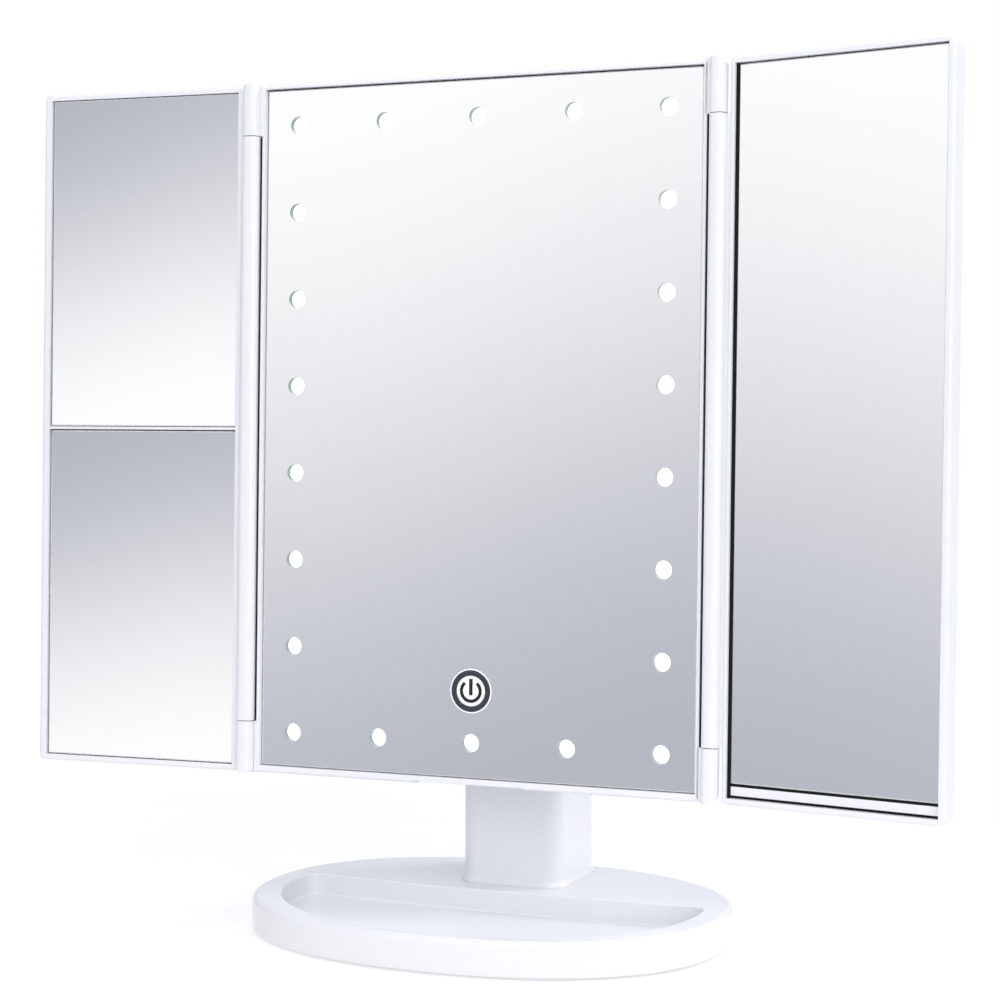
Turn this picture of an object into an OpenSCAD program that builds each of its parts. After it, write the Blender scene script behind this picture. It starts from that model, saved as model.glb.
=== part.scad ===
// Free-standing three-panel vanity mirror on an oval tray base.
// Millimetres, +Z up, front towards -Y, origin at the centre of the base
// footprint on the table. Modelled at its rest pose: head leaning back a
// little, left wing almost flat, right wing turned towards the user.

/* [Pose] */
// Backward lean of the head from vertical, degrees
head_lean = 1.84; // [-20:0.01:60]
// Forward fold of the left wing from flat, degrees
left_fold = 3.4; // [0:0.1:90]
// Forward fold of the right wing from flat, degrees
right_fold = 11.8; // [0:0.1:90]

/* [Base] */
// Width of the oval base
base_w = 168.6; // [160:0.2:190]
// Depth of the oval base
base_d = 125.8; // [122:0.2:145]
// Height of the base deck above the table
base_h = 12.5; // [12:0.1:16]
// Wall thickness of the base shell
base_wall = 2.4; // [1.8:0.1:3]
// Half width of the tray recess
tray_a = 74.8; // [68:0.1:76]
// Half depth of the oval that bounds the tray recess
tray_b = 58.8; // [56:0.1:61]
// Rear edge of the tray at its ends
tray_back = 10.9; // [8:0.1:12]
// The same in the middle: the rear wall of the tray is bowed
tray_mid = 7.4; // [4:0.1:10]
// Depth of the tray below the deck
tray_depth = 7.5; // [4:0.1:7.5]

/* [Column] */
// Width of the column
col_w = 38.4; // [38:0.2:42]
// Front face of the column behind the base centre
col_front = 17.8; // [16:0.1:20]
// Depth of the column
col_d = 38.4; // [38:0.1:40]
// Corner radius of the column
col_r = 6; // [4:0.5:8]
// Height of the column's top edge above the table
col_top = 92; // [90:0.5:94]

/* [Tilt joint] */
// Tilt axis behind the base centre
piv_y = 9; // [8:0.1:10]
// Tilt axis above the table
piv_z = 101; // [100:0.5:104]
// Tilt axis behind the front of the head
piv_in_y = 27; // [27:0.5:30]
// Tilt axis above the lower edge of the head
piv_in_z = 48.5; // [46:0.5:50]
// Radius of the tilt shaft
shaft_r = 3; // [2.5:0.5:3]

/* [Centre panel] */
// Width of the centre frame
frame_w = 161.2; // [158:0.2:164]
// Height of all three panels
panel_h = 240; // [239:1:241]
// Width of the visible front face of the centre frame
frame_face = 1.1; // [1:0.1:1.6]
// How far the centre mirror sits behind the frame face
glass_recess = 1.5; // [1.2:0.1:1.8]
// Thickness of the centre mirror
glass_t = 2; // [1.5:0.1:2]
// Radius of the lamp windows
lamp_r = 3.1; // [2.8:0.1:3.2]
// Spacing of the lamp rows
lamp_dz = 30.14; // [30:0.01:30.2]
// Spacing of the middle lamp columns
lamp_dx = 34.4; // [34:0.1:34.6]
// Half distance between the outer lamp columns
lamp_x = 67.2; // [67:0.1:67.4]
// Height of the touch key above the lower edge of the frame
touch_z = 32.1; // [31:0.1:34]
// Radius of the touch key
touch_r = 7.65; // [7:0.05:8]

/* [Wings] */
// Distance of a wing's hinge axis from the middle
hinge_x = 84.7; // [84.4:0.1:85]
// How far the hinge axis stands in front of the frame face
hinge_y = 0.5; // [0.4:0.1:0.8]
// Radius of the hinge barrels
barrel_r = 2.85; // [2.6:0.05:2.9]
// Distance from hinge axis to outer edge of a wing
left_wing_w = 82.1; // [81:0.1:83]
right_wing_w = 80.3; // [79:0.1:83]
// Thickness of a wing
wing_t = 7.3; // [7.3:0.1:8]
// Radius of curvature of the upper magnifying mirror
mag_r_upper = 900; // [800:10:1200]
// Radius of curvature of the lower magnifying mirror
mag_r_lower = 700; // [650:10:1000]

/* [Hidden] */
$fn = 96;
e = 0.02;

shell_z0 = 0.8;                         // lower edge of the base shell
cover_t = 2.0;                          // base cover thickness
floor_under = base_h - tray_depth - 1.6; // underside of the tray floor
deck_under = base_h - 2.2;              // underside of the rear deck
col_back = col_front + col_d;
col_mid = col_front + col_d / 2;
cwall = 2.2;
rear_in = col_back - 3.4;               // inner face of the thick rear wall
cover_screw_xy = [[-78, -8], [78, -8], [-42, 48], [42, 48]];
col_screw_xy = [[-13, col_front + 6], [13, col_front + 6],
                [-13, rear_in - 4.5], [13, rear_in - 4.5]];
neck_hw = 12;                           // half width of the neck
ear_in = neck_hw + 0.4;
ear_out = ear_in + 5;
knuckle_r = 9.5;
frame_d = 8.4;                          // depth of the centre frame
cover_y = 10.2;                         // rear face of the rear cover
pocket_x = frame_w / 2 - frame_face;
pocket_z = 2.5;                         // pocket of the centre frame, from its lower edge
pocket_zt = 1.8;                        // and from its upper edge
glass_y = glass_recess;
ledge_y = glass_recess + glass_t + 0.5;
led_rows = [for (j = [0:7]) panel_h / 2 + (j - 3.5) * lamp_dz];
lamp_xz = concat([for (s = [-1, 1]) for (j = [0:7]) [s * lamp_x, led_rows[j]]],
                 [for (i = [-1:1]) for (j = [0, 7]) [i * lamp_dx, led_rows[j]]]);
rear_screw_xz = [for (s = [-1, 1]) for (z = [12, panel_h / 2, panel_h - 12]) [s * 73, z]];
knuckle_len = 17.9;
// wing frames: inner edge, inner and outer edge of the mirror opening, all from the hinge axis
left_s0 = barrel_r + 0.3;
left_x0 = 5.3;
left_x1 = left_wing_w - 2.85;
right_s0 = barrel_r + 0.75;
right_x0 = 5.4;
right_x1 = right_wing_w - 2.2;
wing_z = 2.2;                           // opening of a wing from its lower and upper edge
wf = hinge_y;                           // front face of a wing in hinge coordinates
mid_z = panel_h / 2;
divider_t = 0.95;
mag_w = left_x1 - left_x0 - 0.4;
mag_h = (panel_h - 2 * wing_z - divider_t) / 2 - 0.4;
mag_s = (left_x0 + left_x1) / 2;
tab_z = [24, 48, 72];                   // tongues of the battery door
tab_len = 7;
door_travel = 12;                       // slide needed before the door lifts off
cell_r = 7.15;
cell_x = 7.5;
cell_y = [rear_in - 1.2 - cell_r, rear_in - 1.2 - cell_r - 15];

// ---- shared shapes -------------------------------------------------------

// full oval, half width a, half depth b; with n = 2 an ellipse, above 2 a little squarer
function oval_c(t, n) = sign(t) * pow(abs(t), 2 / n);
module oval(a, b, n = 2.22) {
    polygon([for (i = [0:143]) [a * oval_c(cos(2.5 * i + 1.25), n), b * oval_c(sin(2.5 * i + 1.25), n)]]);
}

// rectangle with rounded corners, centred in x, from y0 to y1
module rrect(w, y0, y1, r) {
    x = w / 2 - r;
    union() {
        translate([-x, y0]) square([2 * x, y1 - y0]);
        translate([-w / 2, y0 + r]) square([w, y1 - y0 - 2 * r]);
        for (sx = [-1, 1]) for (yy = [y0 + r, y1 - r]) translate([sx * x, yy]) circle(r, $fn = 48);
    }
}

// box from corner to corner
module box(a, b) { translate(a) cube([b[0] - a[0], b[1] - a[1], b[2] - a[2]]); }

// plate in the XZ plane: outline [x0, z0, x1, z1] with rounded corners, from y0 to y1
module xz_plate(x0, z0, x1, z1, r, y0, y1) {
    translate([0, y1, 0]) rotate([90, 0, 0]) linear_extrude(height = y1 - y0)
        union() {
            translate([x0 + r, z0]) square([x1 - x0 - 2 * r, z1 - z0]);
            translate([x0, z0 + r]) square([x1 - x0, z1 - z0 - 2 * r]);
            for (xx = [x0 + r, x1 - r]) for (zz = [z0 + r, z1 - r]) translate([xx, zz]) circle(r, $fn = 32);
        }
}

// round post or hole along Y, from y0 to y1
module ycyl(x, z, r, y0, y1, fn = 32) {
    translate([x, y1, z]) rotate([90, 0, 0]) cylinder(r = r, h = y1 - y0, $fn = fn);
}

// round post or hole along X, from x0 to x1
module xcyl(y, z, r, x0, x1, fn = 48) {
    translate([x0, y, z]) rotate([0, 90, 0]) cylinder(r = r, h = x1 - x0, $fn = fn);
}

module zcyl(x, y, r, z0, z1, fn = 32) { translate([x, y, z0]) cylinder(r = r, h = z1 - z0, $fn = fn); }

// profile given as [y, z], extruded along X from x0 to x1
module yz_extrude(x0, x1) {
    translate([x0, 0, 0]) rotate([90, 0, 90]) linear_extrude(height = x1 - x0) children();
}

// pan head screw, head towards -Z, shank up
module screw(shank_r, head_r, head_h, len) {
    difference() {
        union() {
            translate([0, 0, -head_h]) cylinder(r = head_r, h = head_h, $fn = 32);
            translate([0, 0, -e]) cylinder(r = shank_r, h = len + e, $fn = 24);
        }
        for (a = [0, 90]) rotate([0, 0, a]) translate([-head_r * 0.6, -0.35, -head_h - 1])
            cube([head_r * 1.2, 0.7, 1.6]);
    }
}

// ---- placement -----------------------------------------------------------

// head frame: x across, y back from the frame face, z up from its lower edge
module head_place() {
    translate([0, piv_y, piv_z]) rotate([-head_lean, 0, 0])
        translate([0, -piv_in_y, -piv_in_z]) children();
}
// wing frames: x away from the hinge axis, y back, z up
module left_place() {
    head_place() translate([-hinge_x, -hinge_y, 0]) rotate([0, 0, left_fold]) mirror([1, 0, 0]) children();
}
module right_place() {
    head_place() translate([hinge_x, -hinge_y, 0]) rotate([0, 0, -right_fold]) children();
}

// ---- base ----------------------------------------------------------------

// rear wall of the tray at a distance x from the middle
function tray_rear(x) = tray_mid + (tray_back - tray_mid) * x * x / (72 * 72);
module tray_outline() {
    r = 4;
    xb = tray_a * sqrt(1 - pow((tray_back - r) / tray_b, 2)) - r;
    yb = tray_rear(xb) - r;
    union() {
        intersection() {
            oval(tray_a, tray_b, 2);
            translate([-100, -100]) square([200, 100 + yb]);
        }
        polygon(concat([[xb, 0]], [for (i = [0:24]) [xb - xb * i / 12, tray_rear(xb - xb * i / 12)]], [[-xb, 0]]));
        for (s = [-1, 1]) translate([s * xb, yb]) circle(r, $fn = 32);
    }
}

module base_shell() {
    a = base_w / 2;
    b = base_d / 2;
    color([0.95, 0.95, 0.96]) difference() {
        union() {
            difference() {
                translate([0, 0, shell_z0]) linear_extrude(height = base_h - shell_z0) oval(a, b);
                // cavity below the rear deck
                translate([0, 0, shell_z0 - 1]) linear_extrude(height = deck_under - shell_z0 + 1)
                    intersection() {
                        oval(a - base_wall, b - base_wall);
                        translate([-100, tray_back + 2.2]) square([200, 100]);
                    }
                // shallow cavity below the tray floor
                translate([0, 0, shell_z0 - 1]) linear_extrude(height = floor_under - shell_z0 + 1)
                    intersection() {
                        oval(a - base_wall, b - base_wall);
                        translate([-100, -100]) square([200, 100 + tray_back + 2.3]);
                    }
                // tray
                translate([0, 0, base_h - tray_depth]) linear_extrude(height = tray_depth + 1) tray_outline();
            }
            for (i = [2, 3]) zcyl(cover_screw_xy[i][0], cover_screw_xy[i][1], 3.6, shell_z0 + cover_t, deck_under + 1);
        }
        for (p = cover_screw_xy) zcyl(p[0], p[1], 1.3, 0, 9.6, 24);
        for (p = col_screw_xy) zcyl(p[0], p[1], 1.5, 5, base_h + 1, 24);
        zcyl(0, col_mid, 4, 5, base_h + 1);
    }
}

module base_bottom_cover() {
    color([0.93, 0.93, 0.94]) difference() {
        translate([0, 0, shell_z0]) linear_extrude(height = cover_t)
            oval(base_w / 2 - base_wall - 0.3, base_d / 2 - base_wall - 0.3);
        for (p = cover_screw_xy) {
            zcyl(p[0], p[1], 1.5, 0, 5, 24);
            zcyl(p[0], p[1], 2.8, 0, shell_z0 + 1.2);
        }
    }
}

module base_ballast_plate() {
    color([0.45, 0.46, 0.48]) translate([0, 0, shell_z0 + cover_t]) difference() {
        linear_extrude(height = 4) intersection() {
            oval(base_w / 2 - 6, base_d / 2 - 5);
            translate([-100, tray_back + 3.5]) square([200, 100]);
        }
        box([-18, col_front - 1, -1], [18, rear_in + 1.5, 5]);
        for (i = [2, 3]) zcyl(cover_screw_xy[i][0], cover_screw_xy[i][1], 4.4, -1, 5);
    }
}

module anti_slip_pad() {
    color([0.2, 0.2, 0.21]) linear_extrude(height = shell_z0)
        oval(base_w / 2 - base_wall - 2, base_d / 2 - base_wall - 2);
}

module base_cover_screws() {
    color([0.7, 0.7, 0.72]) for (p = cover_screw_xy) translate([p[0], p[1], shell_z0 + 1.2])
        screw(1.3, 2.5, 1.1, 7);
}

// ---- column --------------------------------------------------------------

module column_shell() {
    color([0.94, 0.94, 0.96]) difference() {
        union() {
            difference() {
                union() {
                    translate([0, 0, base_h]) linear_extrude(height = col_top - base_h)
                        rrect(col_w, col_front, col_back, col_r);
                    // spread foot of the column
                    translate([0, 0, base_h]) linear_extrude(height = 1)
                        rrect(col_w + 2, col_front - 1, col_back + 1, col_r + 1);
                    translate([0, 0, base_h + 1 - e]) linear_extrude(height = 1)
                        rrect(col_w + 0.9, col_front - 0.45, col_back + 0.45, col_r + 0.5);
                }
                translate([0, 0, base_h - 1]) linear_extrude(height = col_top)
                    rrect(col_w - 2 * cwall, col_front + cwall, rear_in, col_r - cwall);
            }
            for (p = col_screw_xy) zcyl(p[0], p[1], 3.4, base_h, 22);
            // shelf for the inlet board
            box([-17.5, rear_in - 14, base_h + 0.01], [17.5, rear_in + 0.5, base_h + 1.4]);
        }
        for (p = col_screw_xy) zcyl(p[0], p[1], 1.3, base_h - 1, 23, 24);
        // compartment opening in the rear wall
        box([-15.4, rear_in - 1, 24.4], [15.4, col_back + 3, 88]);
        // door channel, open at the top
        box([-16.0, col_back - 1.9, 22], [16.0, col_back + 3, col_top + 1]);
        // side grooves for the door's tongues, with gaps where they lift out
        box([-16.7, col_back - 1.35, 22], [16.7, col_back - 0.55, col_top + 1]);
        for (z = tab_z) box([-16.7, col_back - 1.3, z + door_travel - 0.4], [16.7, col_back + 3, z + door_travel + tab_len + 0.4]);
        // inlet opening
        box([-4.1, rear_in - 1, 15.6], [4.1, col_back + 3, 18.9]);
    }
}

module column_screws() {
    color([0.7, 0.7, 0.72]) for (p = col_screw_xy) translate([p[0], p[1], deck_under])
        screw(1.3, 2.6, 1.6, 10);
}

module column_cap_neck() {
    color([0.94, 0.94, 0.96]) difference() {
        union() {
            translate([0, 0, col_top]) linear_extrude(height = 2.5)
                rrect(col_w, col_front, col_back - 2.1, 3);
            // locating rim inside the column
            translate([0, 0, col_top - 3]) linear_extrude(height = 3 + e)
                rrect(col_w - 2 * cwall - 0.3, col_front + cwall + 0.15, rear_in - 0.3, 3.5);
            yz_extrude(-neck_hw, neck_hw) union() {
                translate([piv_y, piv_z]) circle(knuckle_r, $fn = 72);
                polygon([[piv_y, piv_z - knuckle_r], [col_front - 0.3, col_top], [46, col_top],
                         [47, col_top + 2.5], [44, col_top + 5.5], [36, col_top + 10], [24, col_top + 15],
                         [piv_y + 3, piv_z + 9.01], [piv_y, piv_z + knuckle_r]]);
            }
        }
        xcyl(piv_y, piv_z, shaft_r, -20, 20);
        // hollow of the rim
        translate([0, 0, col_top - 4]) linear_extrude(height = 4)
            rrect(col_w - 2 * cwall - 3.5, col_front + cwall + 1.8, rear_in - 2, 2.4);
        // lead channel up through the neck and forward to the shaft
        zcyl(0, 26, 2.6, col_top - 1, piv_z + 0.5, 32);
        translate([0, 26, piv_z - 2]) rotate([90, 0, 0]) cylinder(r = 2.0, h = 26 - piv_y, $fn = 32);
        for (s = [-1, 1]) zcyl(s * 7, 36, 1.1, col_top - 1, col_top + 9, 24);
        box([-2.2, piv_y - 11, piv_z - 1.6], [2.2, piv_y, piv_z + 1.6]);
    }
}

module neck_screws() {
    color([0.7, 0.7, 0.72]) for (s = [-1, 1]) translate([s * 7, 36, col_top - 0.0]) screw(1.1, 2.2, 1.2, 7);
}

// ---- battery compartment -------------------------------------------------

module battery_holder() {
    y0 = cell_y[1] - cell_r - 0.9;
    y1 = rear_in - 0.6;
    color([0.25, 0.25, 0.27]) intersection() {
        union() {
            box([-16.1, y0 - 1.0, 24.6], [16.1, y0, 82.4]);
            for (s = [-1, 1]) box([s > 0 ? 15.1 : -16.1, y0 - e, 24.6], [s > 0 ? 16.1 : -15.1, y1, 82.4]);
            box([-15.2, y0 - e, 24.6], [15.2, y1, 26.0]);
            box([-15.2, y0 - e, 81.0], [15.2, y1, 82.4]);
        }
        // corners follow the inside of the column
        translate([0, 0, 20]) linear_extrude(height = 70)
            rrect(col_w - 2 * cwall - 0.6, col_front + cwall + 0.3, rear_in - 0.3, col_r - cwall - 0.3);
    }
}

// one cell standing on z0, positive end up or down
module cell(z0, up) {
    translate([0, 0, z0]) {
        translate([0, 0, up ? 0 : 1.0]) cylinder(r = cell_r, h = 49.3, $fn = 64);
        translate([0, 0, up ? 49.3 - e : 0]) cylinder(r = 2.7, h = 1.0 + e, $fn = 32);
    }
}

module battery_cells() {
    color([0.75, 0.68, 0.45]) for (k = [0, 1]) for (s = [-1, 1]) translate([s * cell_x, cell_y[k], 0])
        cell((s * (k == 0 ? 1 : -1)) > 0 ? 30.2 : 26.5, (s * (k == 0 ? 1 : -1)) > 0);
}

module battery_contact_plates() {
    color([0.8, 0.8, 0.78]) for (k = [0, 1]) for (s = [-1, 1]) for (z = [26.0, 80.6])
        translate([s * cell_x - 5.5, cell_y[k] - 5.5, z]) cube([11, 11, 0.4]);
}

// conical coil spring: wire radius w, from z = 0 up to h
function spring_pt(t, r0, r1, h, turns, w, k, n) =
    let (a = 360 * turns * t, r = r0 + (r1 - r0) * t, z = w + (h - 2 * w) * t, b = 360 * k / n,
         rr = r + w * cos(b))
    [rr * cos(a), rr * sin(a), z + w * sin(b)];
module coil(r0, r1, h, turns, w, m, n) {
    pts = [for (i = [0:m]) for (k = [0:n - 1]) spring_pt(i / m, r0, r1, h, turns, w, k, n)];
    side = [for (i = [0:m - 1]) for (k = [0:n - 1])
        [i * n + k, i * n + (k + 1) % n, (i + 1) * n + (k + 1) % n, (i + 1) * n + k]];
    c0 = [[for (k = [0:n - 1]) n - 1 - k]];
    c1 = [[for (k = [0:n - 1]) m * n + k]];
    polyhedron(points = pts, faces = concat(side, c0, c1), convexity = 6);
}

module battery_contact_springs() {
    color([0.8, 0.8, 0.78]) for (k = [0, 1]) for (s = [-1, 1]) translate([s * cell_x, cell_y[k], 0])
        if ((s * (k == 0 ? 1 : -1)) > 0) translate([0, 0, 26.42]) coil(4.6, 2.6, 3.76, 3, 0.4, 36, 6);
        else translate([0, 0, 80.58]) mirror([0, 0, 1]) coil(4.6, 2.6, 3.76, 3, 0.4, 36, 6);
}

module battery_door() {
    y1 = col_back;
    color([0.94, 0.94, 0.96]) difference() {
        union() {
            box([-15.8, y1 - 1.75, 22.2], [15.8, y1, col_top + 2.5]);
            for (z = tab_z) box([-16.5, y1 - 1.22, z], [16.5, y1 - 0.68, z + tab_len]);
            // stiffening ribs on the inside
            for (s = [-1, 1]) box([s * 11 - 0.6, y1 - 3.0, 26], [s * 11 + 0.6, y1 - 1.7, 75]);
        }
        // finger grip grooves
        for (i = [0:4]) translate([0, y1 + 0.55, 80 + 2.2 * i]) rotate([0, 90, 0])
            cylinder(r = 0.9, h = 16, center = true, $fn = 24);
    }
}

module usb_socket() {
    z0 = 15.75;
    color([0.75, 0.76, 0.78]) union() {
        difference() {
            box([-3.75, rear_in - 4.5, z0], [3.75, col_back - 0.6, z0 + 2.9]);
            box([-3.4, rear_in - 3.5, z0 + 0.35], [3.4, col_back + 1, z0 + 2.55]);
        }
        box([-2.0, rear_in - 3.6, z0 + 1.2], [2.0, col_back - 1.8, z0 + 1.8]);
    }
}

module usb_board() {
    color([0.1, 0.35, 0.2]) difference() {
        box([-8.5, rear_in - 13, base_h + 1.45], [8.5, rear_in - 0.2, base_h + 3.2]);
        for (s = [-1, 1]) zcyl(s * 7, rear_in - 11, 0.9, base_h, base_h + 5, 24);
    }
}

module column_leads() {
    color([0.7, 0.12, 0.1]) for (s = [-1, 1]) translate([s * 1.2, 0, 0]) {
        zcyl(0, 26, 0.7, 82.5, piv_z - 2, 16);
        translate([0, 26, piv_z - 2]) sphere(r = 0.7, $fn = 16);
        translate([0, 26, piv_z - 2]) rotate([90, 0, 0]) cylinder(r = 0.7, h = 26 - piv_y - 3.4, $fn = 16);
    }
}

// ---- tilt joint ----------------------------------------------------------

module tilt_shaft() {
    color([0.72, 0.73, 0.75]) difference() {
        xcyl(piv_y, piv_z, shaft_r, -20.4, 20.4);
        xcyl(piv_y, piv_z, 1.6, -21, 21, 32);
        ycyl(0, piv_z, 1.4, piv_y, piv_y + 5, 24);
    }
}

module tilt_friction_washers() {
    color([0.6, 0.55, 0.4]) for (s = [-1, 1]) difference() {
        xcyl(piv_y, piv_z, 8, s > 0 ? neck_hw : -neck_hw - 0.3, s > 0 ? neck_hw + 0.3 : -neck_hw);
        xcyl(piv_y, piv_z, shaft_r, -20, 20);
    }
}

module tilt_lock_nuts() {
    color([0.72, 0.73, 0.75]) for (s = [-1, 1]) difference() {
        translate([s > 0 ? ear_out + 0.1 : -ear_out - 2.9, piv_y, piv_z]) rotate([0, 90, 0])
            cylinder(r = 5.6, h = 2.8, $fn = 6);
        xcyl(piv_y, piv_z, shaft_r, -25, 25);
    }
}

// ---- centre panel --------------------------------------------------------

module centre_frame() {
    hw = frame_w / 2;
    color([0.96, 0.96, 0.97]) head_place() difference() {
        union() {
            difference() {
                xz_plate(-hw, 0, hw, panel_h, 1.2, 0, frame_d);
                // front pocket for the mirror
                box([-pocket_x, -1, pocket_z], [pocket_x, ledge_y, panel_h - pocket_zt]);
                // window inside the ledge
                box([-75.5, 0, 6], [75.5, frame_d + 1, panel_h - 6]);
            }
            for (p = rear_screw_xz) ycyl(p[0], p[1], 2.6, ledge_y, frame_d);
            // end knuckles of both hinges
            for (s = [-1, 1]) for (z0 = [0, panel_h - knuckle_len]) {
                zcyl(s * hinge_x, -hinge_y, barrel_r, z0, z0 + knuckle_len, 48);
                box([s > 0 ? hw - 0.5 : -hinge_x, 0, z0], [s > 0 ? hinge_x : -hw + 0.5, 2.2, z0 + knuckle_len]);
            }
            // cover strips behind the hinge barrels
            for (s = [-1, 1])
                box([s > 0 ? hw - 0.5 : -hinge_x + 0.4, 3.1, knuckle_len - 2],
                    [s > 0 ? hinge_x - 0.4 : -hw + 0.5, 4.3, panel_h - knuckle_len + 2]);
        }
        for (p = rear_screw_xz) ycyl(p[0], p[1], 1.0, ledge_y + 0.6, frame_d + 1, 24);
        // pin sockets
        for (s = [-1, 1]) {
            zcyl(s * hinge_x, -hinge_y, 1.0, 2, knuckle_len + 1, 32);
            zcyl(s * hinge_x, -hinge_y, 1.0, panel_h - knuckle_len - 1, panel_h - 2, 32);
        }
        // shallow notches in the upper and lower edge
        box([-19.5, -1, -1], [19.5, frame_d + 1, 0.6]);
        box([-19.5, -1, panel_h - 0.6], [19.5, frame_d + 1, panel_h + 1]);
    }
}

module hinge_pins() {
    color([0.72, 0.73, 0.75]) head_place() for (s = [-1, 1]) translate([s * hinge_x, -hinge_y, 0]) {
        translate([0, 0, 2]) cylinder(r = 1.0, h = 32, $fn = 32);
        translate([0, 0, panel_h - 34]) cylinder(r = 1.0, h = 32, $fn = 32);
    }
}

module ear_profile() {
    union() {
        translate([piv_in_y, piv_in_z]) circle(9, $fn = 72);
        polygon([[cover_y - 1, piv_in_z - 19], [cover_y + 2, piv_in_z - 18], [piv_in_y - 4, piv_in_z - 8.06],
                 [piv_in_y, piv_in_z - 8.9], [piv_in_y, piv_in_z + 8.9], [piv_in_y - 4, piv_in_z + 8.06],
                 [cover_y + 2, piv_in_z + 18], [cover_y - 1, piv_in_z + 19]]);
    }
}

module centre_rear_cover() {
    hw = frame_w / 2;
    color([0.95, 0.95, 0.96]) head_place() difference() {
        union() {
            xz_plate(-hw, 0, hw, panel_h, 1.2, frame_d, cover_y);
            // locating rim inside the frame
            difference() {
                box([-75.2, frame_d - 1.6, 6.3], [75.2, frame_d + 0.5, panel_h - 6.3]);
                box([-74.0, frame_d - 2, 7.5], [74.0, frame_d + 0.2, panel_h - 7.5]);
                for (p = rear_screw_xz) box([p[0] - 3.2, 0, p[1] - 3.2], [p[0] + 3.2, frame_d, p[1] + 3.2]);
            }
            // pad that carries the tilt ears
            xz_plate(-23, piv_in_z - 25, 23, piv_in_z + 25, 5, frame_d + 0.5, cover_y + 1.6);
            for (s = [-1, 1]) yz_extrude(s > 0 ? ear_in : -ear_out, s > 0 ? ear_out : -ear_in) ear_profile();
            // posts for the lamp board and the control board
            for (s = [-1, 1]) for (z = [35, 90, 150, 205]) ycyl(s * 65, z, 1.6, 6.3, frame_d + 0.5, 24);
            for (s = [-1, 1]) for (z = [86, 108]) ycyl(s * 20, z, 1.6, 6.5, frame_d + 0.5, 24);
        }
        xcyl(piv_in_y, piv_in_z, shaft_r + 0.05, -30, 30);
        for (p = rear_screw_xz) {
            ycyl(p[0], p[1], 1.2, 0, 20, 24);
            ycyl(p[0], p[1], 2.7, cover_y - 1.1, 20);
        }
        // lead passage
        ycyl(0, piv_in_z, 2.2, 0, 20);
    }
}

module rear_cover_screws() {
    color([0.7, 0.7, 0.72]) head_place() for (p = rear_screw_xz) translate([p[0], cover_y - 1.1, p[1]])
        rotate([90, 0, 0]) screw(1.0, 2.2, 1.0, 3.6);
}

module centre_mirror() {
    hx = pocket_x - 0.2;
    color([0.8, 0.84, 0.88]) head_place() difference() {
        box([-hx, glass_y, pocket_z + 0.2], [hx, glass_y + glass_t, panel_h - pocket_zt - 0.2]);
        for (p = lamp_xz) ycyl(p[0], p[1], lamp_r, 0, 6, 48);
        ycyl(0, touch_z, touch_r, 0, 6, 64);
    }
}

module mirror_tape() {
    y0 = ledge_y - 0.5;
    color([0.3, 0.3, 0.32]) head_place() union() {
        for (s = [-1, 1]) box([s > 0 ? 75.8 : -78.4, y0, 6.4], [s > 0 ? 78.4 : -75.8, ledge_y, panel_h - 6.4]);
        for (z = [3.2, panel_h - 5.6]) box([-74, y0, z], [74, ledge_y, z + 2.4]);
    }
}

module lamp_lenses() {
    color([1, 1, 1]) head_place() for (p = lamp_xz) ycyl(p[0], p[1], lamp_r - 0.05, glass_y + 1.0, 4.2, 48);
}

module lamp_leds() {
    color([1, 1, 0.9]) head_place() for (p = lamp_xz)
        box([p[0] - 1.4, 4.25, p[1] - 1.75], [p[0] + 1.4, 5.2, p[1] + 1.75]);
}

module lamp_board() {
    z0 = led_rows[0] - 3.6;
    z1 = led_rows[7] + 3.6;
    color([0.9, 0.92, 0.9]) head_place() difference() {
        box([-70.2, 5.2, z0], [70.2, 6.2, z1]);
        box([-61, 4, z0 + 9], [61, 8, z1 - 9]);
        for (p = rear_screw_xz) ycyl(p[0], p[1], 3.0, 4, 8);
    }
}

module touch_key() {
    color([0.15, 0.17, 0.2]) head_place() ycyl(0, touch_z, touch_r - 0.05, glass_y, glass_y + glass_t, 64);
}

module touch_board() {
    color([0.1, 0.35, 0.2]) head_place() ycyl(0, touch_z, 9, glass_y + glass_t + 0.1, glass_y + glass_t + 1.2, 64);
}

module control_board() {
    color([0.1, 0.35, 0.2]) head_place() difference() {
        box([-26, 5.2, 82], [26, 6.4, 112]);
        for (s = [-1, 1]) for (z = [86, 108]) ycyl(s * 24, z, 0.9, 4, 8, 24);
    }
}

module control_components() {
    color([0.12, 0.12, 0.13]) head_place() union() {
        box([-5, 3.9, 92], [5, 5.2, 99]);
        box([-18, 4.0, 88], [-12, 5.2, 94]);
        box([12, 3.9, 100], [17, 5.2, 106]);
        ycyl(14, 90, 2.5, 4.0, 5.2);
        for (i = [0:3]) box([-20 + 3 * i, 4.5, 102], [-18.6 + 3 * i, 5.2, 104]);
    }
}

module head_leads() {
    color([0.7, 0.12, 0.1]) head_place() for (s = [-1, 1]) translate([s * 1.0, 0, 0]) {
        ycyl(0, piv_in_z, 0.6, 7.4, 16, 16);
        translate([0, 7.4, piv_in_z]) sphere(r = 0.6, $fn = 16);
        zcyl(0, 7.4, 0.6, piv_in_z, 90, 16);
        translate([0, 7.4, 90]) sphere(r = 0.6, $fn = 16);
        ycyl(0, 90, 0.6, 6.4, 7.4, 16);
    }
}

// ---- wings ---------------------------------------------------------------

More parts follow.
